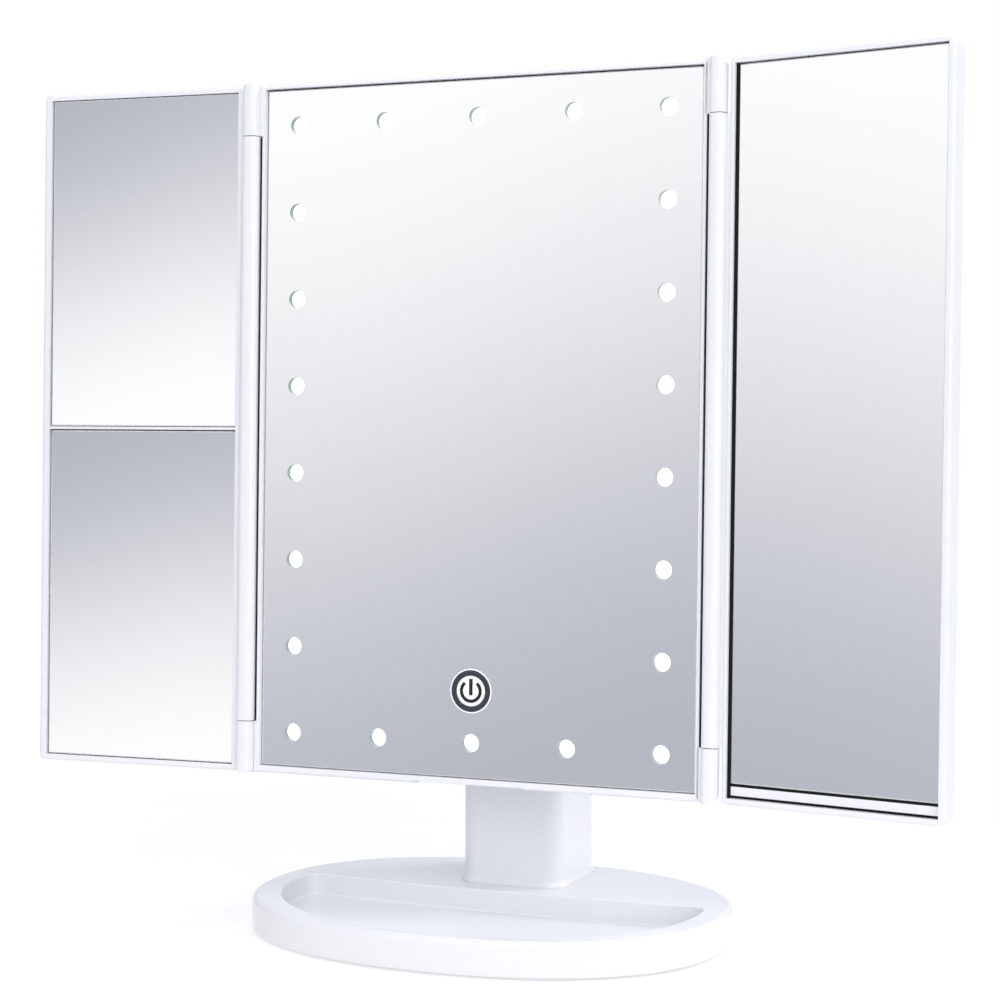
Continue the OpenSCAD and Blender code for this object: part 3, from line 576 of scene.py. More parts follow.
def tray_outline(r_corner=4.6, n=NB):
    """Front half of an oval closed by a bowed rear edge with rounded corners, evenly resampled."""
    k_ = (TRAY_BACK - TRAY_MID) / 72.0 ** 2

    def rear(x):
        return TRAY_MID + k_ * x * x
    # circle of radius r_corner that touches both the rear edge and the oval
    tt = np.linspace(-0.6, 0.5, 4000)
    ox, oy = TRAY_A * np.cos(tt), TRAY_B * np.sin(tt)
    x0 = TRAY_A
    while True:
        x0 -= 0.01
        nrm = Vector((-2 * k_ * x0, 1.0)).normalized()
        c = (x0 - r_corner * nrm.x, rear(x0) - r_corner * nrm.y)
        d = np.hypot(ox - c[0], oy - c[1])
        if (c[0] / TRAY_A) ** 2 + (c[1] / TRAY_B) ** 2 < 1 and d.min() >= r_corner:
            break
    tj = float(tt[int(np.argmin(d))])
    a_start = math.degrees(math.atan2(TRAY_B * math.sin(tj) - c[1], TRAY_A * math.cos(tj) - c[0]))
    a_end = math.degrees(math.atan2(rear(x0) - c[1], x0 - c[0]))
    right_arc = arc(c[0], c[1], r_corner, a_start, a_end, 24)
    left_arc = [(-x, y) for x, y in right_arc[::-1]]
    m = 700
    front = []
    for i in range(m + 1):
        t = math.pi - tj + (math.pi + 2 * tj) * i / m  # left contact, through the front, to right contact
        front.append((TRAY_A * math.cos(t), TRAY_B * math.sin(t)))
    line = [(x0 - 2 * x0 * i / 200, rear(x0 - 2 * x0 * i / 200)) for i in range(1, 200)]
    poly = np.array(front[:-1] + right_arc + line + left_arc[:-1])
    seg = np.linalg.norm(np.roll(poly, -1, 0) - poly, axis=1)
    closed = np.vstack([poly, poly[:1]])
    # more points where the outline turns
    e = np.roll(poly, -1, 0) - poly
    ang = np.unwrap(np.arctan2(e[:, 1], e[:, 0]))
    turn = np.abs(np.roll(ang, -1) - ang)
    turn[-1] = 0
    dens = seg / seg.sum() + 0.6 * np.minimum(turn, 0.3) / (2 * math.pi)
    cs = np.concatenate([[0], np.cumsum(dens)])
    cs /= cs[-1]
    u = np.arange(n) / n
    return np.stack([np.interp(u, cs, closed[:, 0]), np.interp(u, cs, closed[:, 1])], 1)


def ring3(p2, z):
    return [(float(x), float(y), z) for x, y in p2]


def match_start(outer, inner):
    """Rotates inner's start so that the quads of the deck don't twist."""
    best, bi = 1e18, 0
    for k in range(0, len(inner)):
        r = np.roll(inner, -k, 0)
        d = ((r[::16] - outer[::16]) ** 2).sum()
        if d < best:
            best, bi = d, k
    return np.roll(inner, -bi, 0)


def make_base():
    o = oval(BASE_A, BASE_B)
    t = match_start(o, tray_outline())
    ro, ri, rf = 2.4, 0.8, 0.8
    rings = []
    # inside wall of the underside, up from the lower edge
    rings.append(ring3(offset(o, -2.4), 3.0))
    rings.append(ring3(offset(o, -2.4), 1.0))
    rings.append(ring3(offset(o, -2.2), 0.8))
    rings.append(ring3(offset(o, -0.75), 0.8))
    rings.append(ring3(offset(o, -0.45), 0.95))
    rings.append(ring3(offset(o, -0.3), 1.3))
    for k in range(1, 4):
        rings.append(ring3(offset(o, -0.3 + 0.3 * k / 4), 1.3 + 6.0 * k / 4))
    for k in range(0, 9):
        a = math.radians(90 * k / 8)
        rings.append(ring3(offset(o, -ro + ro * math.cos(a)), BASE_H - ro + ro * math.sin(a)))
    # edge of the tray, its wall, the fillet and the floor
    for k in range(0, 9):
        a = math.radians(90 * k / 8)
        rings.append(ring3(offset(t, ri - ri * math.sin(a)), BASE_H - ri + ri * math.cos(a)))
    for k in range(0, 9):
        a = math.radians(90 * k / 8)
        rings.append(ring3(offset(t, -rf + rf * math.cos(a) - 0.25 * k / 8), TRAY_FLOOR + rf - rf * math.sin(a)))
    ob = loft(rings, cap0=True, cap1=True)
    return finish(ob, "base_shell_body", STAND, "stand", WHITE, ["base_shell"], angle=40, dissolve=False)


make_base()

# underside cover, dished a little
CA, CB = BASE_A - 2.7, BASE_B - 2.7
cover = loft([ring3(oval(CA - 0.3, CB - 0.3), 0.86), ring3(oval(CA, CB), 1.1), ring3(oval(CA, CB), 2.6),
              ring3(oval(CA - 0.4, CB - 0.4), 2.8)])
finish(cover, "base_cover_body", STAND, "stand", WHITE_SATIN, ["base_bottom_cover"], dissolve=False)

# anti-slip pad with a raised rim
pad_rings = []
for d, z in ((5.1, 0.8), (4.4, 0.66), (4.4, 0.25), (4.9, 0.02), (6.4, 0.0), (6.9, 0.22), (8.8, 0.22), (9.3, 0.0)):
    pad_rings.append(ring3(oval(BASE_A - d, BASE_B - d), z))
pad = loft(pad_rings)
finish(pad, "anti_slip_pad_body", STAND, "stand", RUBBER, ["anti_slip_pad"], dissolve=False)

# ---------------------------------------------------------------------------
# column, cap and neck
# ---------------------------------------------------------------------------


def col_out(d, r_extra=0.0):
    r = COL_R + d + r_extra
    return rr(-COL_W / 2 - d, COL_Y0 - d, COL_W / 2 + d, COL_Y1 + d, r, 14)


col_rings = []
for d, z in ((0.85, 12.35), (1.0, 12.6), (1.02, 13.1), (0.92, 13.45), (0.66, 13.66), (0.42, 13.82), (0.22, 14.15),
             (0.09, 14.6), (0.02, 15.3), (0.0, 16.2), (0.0, 91.2), (-0.18, 91.75), (-0.5, 92.0)):
    col_rings.append([(x, y, z) for x, y in col_out(d)])
col = loft(col_rings)
boolean(col, prism(rr(-17.0, 20.0, 17.0, 52.8, 3.8, 8), 14.6, 95, "Z"))
boolean(col, box(-15.4, 50.0, 24.4, 15.4, 60.0, 88.0))
boolean(col, box(-16.0, 54.3, 22.0, 16.0, 60.0, 95.0))
boolean(col, box(-16.7, 54.85, 22.0, 16.7, 55.65, 95.0))
for z in (24, 48, 72):
    boolean(col, box(-16.7, 54.9, z + 11.6, 16.7, 60.0, z + 19.4))
boolean(col, prism(rr(-4.15, 15.55, 4.15, 18.95, 1.0, 5), 50.0, 60.0, "Y"))
bevel(col, 0.18, 2, 40)
finish(col, "column_body", STAND, "stand", COLUMN_WHITE, ["column_shell"], angle=40)

cap = prism(rr(-COL_W / 2, COL_Y0, COL_W / 2, COL_Y1 - 2.1, (COL_R, COL_R, 1.2, 1.2), 12), COL_TOP + 0.12, COL_TOP + 2.5, "Z")
bevel_edges(cap, 1.1, 5, lambda c, d, e: c.z > COL_TOP + 2.4)
arm = ([(9.0, 91.5)] + [(21.0, 91.9), (46.0, 91.9), (47.0, 94.4)] + bez((47.0, 94.4), (43.0, 99.0), (30.0, 106.0), (18.0, 109.2), 20)[1:]
       + bez((18.0, 109.2), (14.5, 110.1), (11.5, 110.5), (9.0, 110.5), 8)[1:] + arc(9.0, 101.0, 9.5, 90, 270, 40)[1:-1])
neck = prism(arm, -12.0, 12.0, "X")
bevel_edges(neck, 1.3, 5, lambda c, d, e: abs(c.x) > 11.9)
boolean(neck, cyl(9.0, 101.0, 3.0, -20, 20, "X", 48))
boolean(cap, neck, "UNION")
finish(cap, "cap_and_neck_body", STAND, "stand", WHITE, ["column_cap_neck"], angle=35)

# battery door: follows the corner rounding of the column, ribbed thumb grip, tongues
door = prism([(x, y) for x, y in rr(-COL_W / 2, COL_Y0, COL_W / 2, COL_Y1, COL_R, 24)], 22.25, 94.5, "Z")
boolean(door, box(-15.8, 54.45, 20, 15.8, 60, 96), "INTERSECT")
bevel_edges(door, 0.5, 4, lambda c, d, e: c.y > 55.0)
grip = []
for i in range(6):
    z = 78.0 + 2.3 * i
    g = cyl(56.75, z, 1.0, -8.5, 8.5, "X", 24)
    grip.append(g)
for g in grip:
    boolean(door, g)
for z in (24, 48, 72):
    boolean(door, box(-16.5, 54.98, z, 16.5, 55.52, z + 7), "UNION")
for s in (-1, 1):
    boolean(door, box(s * 11 - 0.6, 53.2, 26, s * 11 + 0.6, 54.6, 75), "UNION")
bevel(door, 0.16, 2, 45)
finish(door, "battery_door_body", STAND, "door", WHITE, ["battery_door"], angle=35)

# micro-USB inlet
usb = prism(rr(-3.75, 15.75, 3.75, 18.65, (0.9, 0.9, 0.35, 0.35), 6), 48.3, 55.6, "Y")
boolean(usb, prism(rr(-3.4, 16.1, 3.4, 18.3, (0.7, 0.7, 0.25, 0.25), 6), 49.3, 57, "Y"))
bevel(usb, 0.1, 2, 40)
tongue = bevel(box(-1.9, 49.0, 16.95, 1.9, 54.6, 17.55), 0.12, 2)
assign_by(usb, [NICKEL, DARK], lambda c, n: 0)
assign_by(tongue, [NICKEL, DARK], lambda c, n: 1)
tongue.data.materials.clear()
finish(join([usb, tongue]), "usb_inlet_shell", STAND, "stand", NICKEL, ["usb_socket"], dissolve=False)

# ---------------------------------------------------------------------------
# tilt joint: nuts and shaft ends
# ---------------------------------------------------------------------------
nuts = []
for s in (-1, 1):
    x0, x1 = 17.5, 20.3
    hexa = prism(circle_pts(9.0, 101.0, 5.6, 6), x0 if s > 0 else -x1, x1 if s > 0 else -x0, "X")
    cone = lathe([(0, x0 - 1), (9.0, x0 - 1), (7.6, x0), (5.75, x1 - 0.35), (5.0, x1), (4.4, x1 + 0.05), (0, x1 + 0.05)], 48, "X")
    if s < 0:
        move(cone, Matrix.Scale(-1, 4, (1, 0, 0)))
    move(cone, Matrix.Translation((0, 9.0, 101.0)))
    boolean(hexa, cone, "INTERSECT")
    boolean(hexa, cyl(9.0, 101.0, 3.02, -25, 25, "X", 40))
    bevel(hexa, 0.15, 2, 25)
    nuts.append(hexa)
finish(join(nuts), "tilt_lock_nut_pair", STAND, "stand", STEEL, ["tilt_lock_nuts"], angle=25, dissolve=False)

shaft = lathe([(1.6, -20.4), (2.5, -20.4), (2.85, -20.2), (3.0, -19.8), (3.0, 19.8), (2.85, 20.2), (2.5, 20.4), (1.6, 20.4),
               (1.5, 20.1), (1.5, -20.1), (1.6, -20.4)], 48, "X")
finish(move(shaft, Matrix.Translation((0, 9, 101))), "tilt_shaft_body", STAND, "stand", STEEL, ["tilt_shaft"],
       angle=30)

# ---------------------------------------------------------------------------
# centre panel
# ---------------------------------------------------------------------------


def barrel(x, y, z0, z1, grow=(0.0, 0.0), n=2.45, m=72):
    """Hinge barrel, a little flatter in front than a round bar; grow widens it towards -x and +x."""
    pts = []
    for i in range(m):
        t = 2 * math.pi * i / m
        c, s = math.cos(t), math.sin(t)
        rx = BARREL_R + (grow[1] if c > 0 else grow[0])
        pts.append((x + rx * math.copysign(abs(c) ** (2 / n), c), y + BARREL_R * math.copysign(abs(s) ** (2 / n), s)))
    return prism(pts, z0, z1, "Z")


def knuckle(side, z0, z1, lower):
    c = barrel(side * HINGE_X, -HINGE_Y, z0, z1, (0.0, 0.0) if side > 0 else (0.0, 0.38))
    xa, xb = (FRAME_HW - 0.6, HINGE_X) if side > 0 else (-HINGE_X, -FRAME_HW + 0.6)
    boolean(c, box(xa, 0.0, z0, xb, 2.2, z1), "UNION")
    # round the outer end as seen from the front
    ro = 3.8 if side > 0 else 2.2
    x_in, x_out = side * (FRAME_HW - 3), side * (HINGE_X + BARREL_R + 0.001)
    xs = sorted((x_in, x_out))
    if lower:
        radii = (0, ro, 0, 0) if side > 0 else (ro, 0, 0, 0)
    else:
        radii = (0, 0, ro, 0) if side > 0 else (0, 0, 0, ro)
    boolean(c, prism(rr(xs[0], z0, xs[1], z1, radii, 12), -6, 6, "Y"), "INTERSECT")
    return c


cf = prism([(-FRAME_HW, 0), (FRAME_HW, 0), (FRAME_HW, PANEL_H), (-FRAME_HW, PANEL_H)], 0, FRAME_D, "Y")
bevel_edges(cf, 1.25, 6, lambda c, d, e: c.y < 0.1 and abs(d.x) > 0.9)
boolean(cf, box(-POCKET_X, -1, POCKET_Z, POCKET_X, 4.0, PANEL_H - POCKET_ZT))
boolean(cf, box(-75.5, 3.0, 6.0, 75.5, 10.0, PANEL_H - 6))
for z0, z1 in ((-1, 0.6), (PANEL_H - 0.6, PANEL_H + 1)):
    boolean(cf, box(-19.5, -1, z0, 19.5, 10, z1))
for side in (-1, 1):
    for z0 in (0, PANEL_H - KNUCKLE):
        boolean(cf, knuckle(side, z0, z0 + KNUCKLE, z0 == 0), "UNION")
    # cover strip behind the hinge barrel
    xa, xb = (FRAME_HW - 0.5, HINGE_X - 0.4) if side > 0 else (-HINGE_X + 0.4, -FRAME_HW + 0.5)
    boolean(cf, box(xa, 3.1, KNUCKLE - 2, xb, 4.3, PANEL_H - KNUCKLE + 2), "UNION")
bevel(cf, 0.16, 2, 38)
finish(cf, "centre_frame_body", HEAD, "head", WHITE_FRAME, ["centre_frame"], angle=38)

# dark grey strips that line the gap behind each barrel: painted shade in the gap
gap_shade_strips = []
for side in (-1, 1):
    pr = [(FRAME_HW - 0.05, 0.5), (FRAME_HW + 0.14, 0.42), (FRAME_HW + 0.14, 2.86), (HINGE_X - 0.5, 2.86), (HINGE_X - 0.42, 3.16),
          (FRAME_HW - 0.05, 3.16)]
    gap_shade_strips.append(prism([(side * x, y) for x, y in pr][::side], KNUCKLE + 0.05, PANEL_H - KNUCKLE - 0.05, "Z"))
finish(join(gap_shade_strips), "hinge_gap_shade_strips", HEAD, "head", GAP_SHADE_GREY, [], smooth=False, dissolve=False)

# hinge pins show only in the thin gaps between knuckle and barrel
pins = []
for s in (-1, 1):
    for z in (2, PANEL_H - 34):
        p = lathe([(0, z), (0.8, z), (1.0, z + 0.25), (1.0, z + 31.75), (0.8, z + 32), (0, z + 32)], 24, "Z")
        pins.append(move(p, Matrix.Translation((s * HINGE_X, -HINGE_Y, 0))))
finish(join(pins), "hinge_pin_set", HEAD, "head", STEEL, ["hinge_pins"], dissolve=False)

# centre mirror: ground chamfer all round, windows and touch hole
GA, GB, GC, GD = -POCKET_X + 0.22, POCKET_Z + 0.22, POCKET_X - 0.32, PANEL_H - POCKET_ZT - 0.42
cm = box(GA, GLASS_Y, GB, GC, GLASS_Y + GLASS_T, GD)
bevel_edges(cm, 0.42, 1, lambda c, d, e: c.y < GLASS_Y + 0.01)
cuts = [cyl(x, z, LAMP_R, -1, 6, "Y", 56) for x, z in LAMPS] + [cyl(0, TOUCH_Z, TOUCH_R + 0.05, -1, 6, "Y", 72)]
boolean(cm, join(cuts))
HOLES = LAMPS + [(0, TOUCH_Z)]


def glass_part(c, n):
    if n.y < -0.99:
        return 0
    if n.y < -0.3:
        return 2
    if n.y < 0.3 and min((c.x - x) ** 2 + (c.z - z) ** 2 for x, z in HOLES[:-1]) < 3.3 ** 2:
        return 3
    return 1


GLASS_MATS = [MIRROR, GLASS_EDGE, GLASS_BEVEL_HIGHLIGHT, HOLE_WALL_SHADE]
assign_by(cm, GLASS_MATS, glass_part)
cm.data.polygons.foreach_set("use_smooth", [False] * len(cm.data.polygons))
finish(cm, "centre_mirror_glass", HEAD, "head", GLASS_MATS, ["centre_mirror"],
       smooth=False, dissolve=False)

# black foam tape behind the mirror; where it shows in the narrow gap round the glass, its black also paints the shade
# in the gap
tape = box(-POCKET_X + 0.03, 2.55, POCKET_Z + 0.03, POCKET_X - 0.03, 3.98, PANEL_H - POCKET_ZT - 0.03)
boolean(tape, box(GA - 0.02, 2.0, GB - 0.02, GC + 0.02, 3.52, GD + 0.02))
boolean(tape, box(-75.8, 2.0, 6.4, 75.8, 5.0, PANEL_H - 6.4))
finish(tape, "mirror_tape_and_gap_shade_ring", HEAD, "head", FOAM_AND_GAP_SHADE, ["mirror_tape"], smooth=False)

# lamp windows: shallow domed diffusers behind the glass
lens = []
for x, z in LAMPS:
    l = lathe([(0, 3.28), (1.2, 3.3), (2.3, 3.36), (2.85, 3.46), (3.0, 3.56), (3.04, 3.7), (3.04, 4.15), (2.9, 4.2), (0, 4.2)], 40, "Y")
    lens.append(move(l, Matrix.Translation((x, 0, z))))
finish(join(lens), "lamp_window_set", HEAD, "head", LAMP, ["lamp_lenses"], angle=50, dissolve=False)

# touch key: printed white ring, raised slate ring, white disc with the power symbol
ky = GLASS_Y
key_white = lathe([(0, ky - 0.02), (5.12, ky - 0.02), (5.16, ky + 0.05), (7.06, ky + 0.05), (7.1, ky - 0.05), (7.55, ky - 0.05),
                   (7.62, ky + 0.02), (7.62, ky + 1.95), (7.5, ky + 2.0), (0, ky + 2.0)], 96, "Y")
finish(move(key_white, Matrix.Translation((0, 0, TOUCH_Z))), "touch_key_face", HEAD, "head", PRINT_WHITE, ["touch_key"],
       angle=30, dissolve=False)
prof = [(7.09, ky + 0.06)] + [(6.115 + 0.97 * math.cos(math.radians(a)), ky + 0.03 - 0.20 * math.sin(math.radians(a)) ** 0.8)
                              for a in range(0, 181, 15)] + [(5.13, ky + 0.06)]
v, f = [], []
nseg = 120
for i in range(nseg):
    t = 2 * math.pi * i / nseg
    for r, y in prof:
        v.append((r * math.cos(t), y, r * math.sin(t)))
k = len(prof)
for i in range(nseg):
    j = (i + 1) % nseg
    for q in range(k):
        w = (q + 1) % k
        f.append((i * k + q, i * k + w, j * k + w, j * k + q))
ring = obj_from(v, f)
finish(move(ring, Matrix.Translation((0, 0, TOUCH_Z))), "touch_key_ring", HEAD, "head", SLATE, [], angle=60,
       dissolve=False)


def arc_band(r0, r1, a0, a1, n=56, cap=3):
    """Band of a ring between two angles (degrees), as an outline in (x, z)."""
    outer = arc(0, 0, r1, a0, a1, n)
    inner = arc(0, 0, r0, a1, a0, n)
    return outer + inner


sym = prism(arc_band(2.85, 4.0, 90 + 39, 90 + 321), ky - 0.05, ky + 0.03, "Y")
bar = prism(rr(-0.64, -1.42, 0.64, 4.12, 0.12, 3), ky - 0.05, ky + 0.03, "Y")
finish(move(join([sym, bar]), Matrix.Translation((0, 0, TOUCH_Z))), "touch_key_symbol", HEAD, "head", PRINT_BLACK, [],
       angle=30, dissolve=False)

# rear cover with the two ears of the tilt joint
rc = prism(rr(-FRAME_HW, 0, FRAME_HW, PANEL_H, 1.6, 8), FRAME_D + 0.12, COVER_Y, "Y")
bevel_edges(rc, 0.9, 4, lambda c, d, e: c.y > COVER_Y - 0.1)
padp = prism(rr(-23, 23.5, 23, 73.5, 5, 10), FRAME_D + 0.5, COVER_Y + 1.6, "Y")
bevel_edges(padp, 0.7, 4, lambda c, d, e: c.y > COVER_Y + 1.5)
boolean(rc, padp, "UNION")
for s in (-1, 1):
    zc = 48.5
    prof = (bez((10.6, zc - 20), (12.6, zc - 15), (15.5, zc - 9.6), (27.0, zc - 9.0), 16)
            + arc(27.0, zc, 9.0, -90, 90, 32)[1:]
            + bez((27.0, zc + 9.0), (15.5, zc + 9.6), (12.6, zc + 15), (10.6, zc + 20), 16)[1:])
    xa, xb = (12.4, 17.4) if s > 0 else (-17.4, -12.4)
    ear = prism(prof, xa, xb, "X")
    bevel_edges(ear, 0.9, 4, lambda c, d, e: c.y > 11.0)
    boolean(rc, ear, "UNION")
boolean(rc, cyl(27.0, 48.5, 3.05, -30, 30, "X", 48))
for x, z in COVER_SCREWS:
    boolean(rc, cyl(x, z, 2.7, COVER_Y - 1.1, 20, "Y", 40))
boolean(rc, cyl(0, 48.5, 2.2, 5, 20, "Y", 32))
bevel(rc, 0.12, 2, 40)
finish(rc, "centre_rear_cover_body", HEAD, "head", WHITE_SATIN, ["centre_rear_cover"], angle=36)


def pan_screws(places, y_face, r=2.2, h=0.95):
    out = []
    for x, z in places:
        s = lathe([(0, y_face + h), (r * 0.45, y_face + h - 0.02), (r * 0.8, y_face + h * 0.82), (r * 0.97, y_face + h * 0.45),
                   (r, y_face + 0.12), (r * 0.97, y_face), (1.0, y_face), (1.0, y_face - 3.0), (0, y_face - 3.4)], 40, "Y")
        cut = bevel(box(-r * 0.58, y_face + h - 0.55, -0.28, r * 0.58, y_face + h + 1, 0.28), 0.05, 1)
        boolean(cut, box(-0.28, y_face + h - 0.55, -r * 0.58, 0.28, y_face + h + 1, r * 0.58), "UNION")
        move(cut, Matrix.Rotation(math.radians((x * 7 + z * 3) % 90), 4, "Y"))
        boolean(s, cut)
        out.append(move(s, Matrix.Translation((x, 0, z))))
    return join(out)


finish(pan_screws(COVER_SCREWS, COVER_Y - 1.1), "rear_cover_screw_set", HEAD, "head", STEEL, ["rear_cover_screws"],
       angle=30, dissolve=False)

# ---------------------------------------------------------------------------
# wings
# ---------------------------------------------------------------------------
WF = HINGE_Y
WB = HINGE_Y + WING_T


def wing_frame(s0, w, radii, windows, soft_x, grow, name, M, body):
    """radii: corners (inner low, outer low, outer high, inner high); soft_x: window edge that is rounded in front."""
    o = prism(rr(s0, 0, w, PANEL_H, radii, 12), WF, WB, "Y")
    bevel_edges(o, 1.15, 6, lambda c, d, e: c.y < WF + 0.05)
    bevel_edges(o, 0.6, 4, lambda c, d, e: c.y > WB - 0.05)
    b = barrel(0, 0, KNUCKLE + 0.3, PANEL_H - KNUCKLE - 0.3, grow)
    boolean(b, box(0, WF + 0.5, KNUCKLE + 0.3, s0 + 0.9, WF + 2.0, PANEL_H - KNUCKLE - 0.3), "UNION")
    boolean(o, b, "UNION")
    boolean(o, cyl(0, 0, 1.06, -1, PANEL_H + 1, "Z", 32))
    boolean(o, box(s0 + 1.5, WB - 1.6, 1.6, w - 1.6, WB + 1, PANEL_H - 1.6))
    for q in windows:
        boolean(o, box(*q))
    if soft_x:
        bevel_edges(o, 0.85, 5, lambda c, d, e: abs(c.x - soft_x) < 0.02 and c.y < WF + 0.05 and abs(d.z) > 0.9)
    bevel(o, 0.15, 2, 38)
    return finish(o, name, M, body, WHITE_FRAME, [body + "_frame"], angle=38)


wing_frame(L_S0, L_W, (1.8, 1.7, 1.7, 1.8),
           [(L_X0, -1, WING_Z, L_X1, 10, DIV_Z - DIV / 2), (L_X0, -1, DIV_Z + DIV / 2, L_X1, 10, PANEL_H - WING_Z)],
           None, (0.38, 0.0), "left_wing_frame_body", LEFT, "left_wing")
wing_frame(R_S0, R_W, (1.8, 3.2, 3.2, 1.8),
           [(R_X0, -1, WING_Z, R_X1, WF + 3.4, PANEL_H - WING_Z),
            (R_X0 + 3, 0, WING_Z + 5.6, R_X1 - 3, 10, PANEL_H - WING_Z - 3)],
           R_X1, (0.0, 0.0), "right_wing_frame_body", RIGHT, "right_wing")

for M, body, s0, w in ((LEFT, "left_wing", L_S0, L_W), (RIGHT, "right_wing", R_S0, R_W)):
    pl = prism(rr(s0 + 1.65, 1.75, w - 1.75, PANEL_H - 1.75, 1.2, 6), WB - 1.55, WB, "Y")
    bevel_edges(pl, 0.35, 3, lambda c, d, e: c.y > WB - 0.05)
    # a shallow raised field, as on the moulded back
    fld = prism(rr(s0 + 6.5, 7.0, w - 6.5, PANEL_H - 7.0, 3.0, 8), WB - 1.0, WB + 0.25, "Y")
    bevel_edges(fld, 0.24, 2, lambda c, d, e: c.y > WB + 0.2)
    boolean(pl, fld, "UNION")
    finish(pl, body + "_back_body", M, body, WHITE_SATIN, [body + "_back"], angle=30)

# magnifying mirrors: dished sheets with a ground edge
MW = L_X1 - 0.5 - L_X0 - 0.12
MS = (L_X1 - 0.5 + L_X0 + 0.12) / 2
MAG_Z = [(WING_Z, DIV_Z - DIV / 2), (DIV_Z + DIV / 2, PANEL_H - WING_Z)]
MH = MAG_Z[0][1] - MAG_Z[0][0] - 0.70


def mag(zc, radius, name, node, look_r, look_rx, look_up):
    """radius: the sheet's own curvature. look_r, look_rx, look_up: curvature and lean of the reflecting
    layer, given to the front face as its normals."""
    nx, nz = 48, 72
    ch = 0.4
    half_d2 = (MW / 2) ** 2 + (MH / 2) ** 2
    sag_c = radius - math.sqrt(radius ** 2 - half_d2)
    y_edge = WF + 0.75

    def depth(x, z):
        # dished sheet with a straight rim
        u, w = 1 - (2 * x / MW) ** 2, 1 - (2 * z / MH) ** 2
        return y_edge + sag_c * (max(u, 0.0) ** 0.8) * (max(w, 0.0) ** 0.8)
    xs = [-MW / 2] + [-MW / 2 + ch + (MW - 2 * ch) * i / nx for i in range(nx + 1)] + [MW / 2]
    zs = [-MH / 2] + [-MH / 2 + ch + (MH - 2 * ch) * i / nz for i in range(nz + 1)] + [MH / 2]
    NX, NZ = len(xs), len(zs)
    v, f, idx = [], [], []
    for side in (0, 1):
        for z in zs:
            for x in xs:
                edge = abs(abs(x) - MW / 2) < 1e-9 or abs(abs(z) - MH / 2) < 1e-9
                y = depth(x, z) + (1.05 if side else (0.32 if edge else 0.0))
                v.append((x, y, z))
    for side in (0, 1):
        o = side * NX * NZ
        for k in range(NZ - 1):
            for i in range(NX - 1):
                q = (o + k * NX + i, o + k * NX + i + 1, o + (k + 1) * NX + i + 1, o + (k + 1) * NX + i)
                rim = i in (0, NX - 2) or k in (0, NZ - 2)
                f.append(q if side == 0 else q[::-1])
                idx.append((2 if rim else 0) if side == 0 else 1)
    o = NX * NZ
    border = ([k for k in range(NX)] + [(k + 1) * NX - 1 for k in range(1, NZ)]
              + [(NZ - 1) * NX + k for k in range(NX - 2, -1, -1)] + [k * NX for k in range(NZ - 2, 0, -1)])
    for a, b in zip(border, border[1:] + border[:1]):
        f.append((b, a, o + a, o + b))
        idx.append(1)
    me = bpy.data.meshes.new(name)
    me.from_pydata(v, [], f)
    ob = bpy.data.objects.new(name, me)
    bpy.context.scene.collection.objects.link(ob)
    for m in (MIRROR, GLASS_EDGE, GLASS_BEVEL_HIGHLIGHT):
        me.materials.append(m)
    me.polygons.foreach_set("material_index", idx)
    smooth = [i == 0 for i in idx]
    me.polygons.foreach_set("use_smooth", smooth)
    me.update()
    # exact normals for the reflecting layer
    up = math.radians(look_up)
    normals = []
    for p in me.polygons:
        for li in p.loop_indices:
            co = me.vertices[me.loops[li].vertex_index].co
            if p.material_index == 0:
                n = Vector((-co.x / look_rx, -1.0, -co.z / look_r)).normalized()
                n = Matrix.Rotation(-up, 3, "X") @ n
                normals.append(n)
            else:
                normals.append(p.normal.copy())
    move(ob, Matrix.Translation((MS, 0, zc)))
    T = MM @ LEFT
    R3 = T.to_3x3()
    R3 = Matrix([r.normalized() for r in R3.transposed()]).transposed()
    world = []
    for n in normals:
        world.append((R3 @ n).normalized())
    # the frame of the wing is a mirror image, so the winding turns round with it
    order = []
    for p in me.polygons:
        L = list(p.loop_indices)
        order.append(L)
    me.transform(T)
    new_normals = [None] * len(me.loops)
    if T.determinant() < 0:
        vi = [[me.loops[li].vertex_index for li in L] for L in order]
        nn = [[world[li] for li in L] for L in order]
        me.flip_normals()
        for p, V_, N_ in zip(me.polygons, vi, nn):
            look = {}
            for a, b in zip(V_, N_):
                look[a] = b
            for li in p.loop_indices:
                new_normals[li] = look[me.loops[li].vertex_index]
    else:
        new_normals = world
    me.normals_split_custom_set(new_normals)
    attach(ob, "left_wing")
    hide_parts(node)
    return ob


mag(MAG_Z[1][0] + 0.27 + MH / 2, 900.0, "upper_magnifying_glass", "upper_magnifying_mirror",
    450.0, 650.0, -1.9)
mag(MAG_Z[0][0] + 0.27 + MH / 2, 700.0, "lower_magnifying_glass", "lower_magnifying_mirror",
    450.0, 650.0, 2.25)

# dark grey strips behind the rims of the magnifying mirrors, seen as a hairline round each: painted shade in the gaps
# round the glass
rim_shade_parts = []
for z0, z1 in MAG_Z:
    s_ = box(L_X0 + 0.02, WF + 1.9, z0 + 0.02, L_X1 - 0.02, WF + 2.3, z1 - 0.02)
    boolean(s_, box(L_X0 + 1.3, 0, z0 + 1.3, L_X1 - 1.3, 10, z1 - 1.3))
    rim_shade_parts.append(s_)
finish(join(rim_shade_parts), "left_mirror_rim_shade", LEFT, "left_wing", GAP_SHADE_GREY, [], smooth=False, dissolve=False)
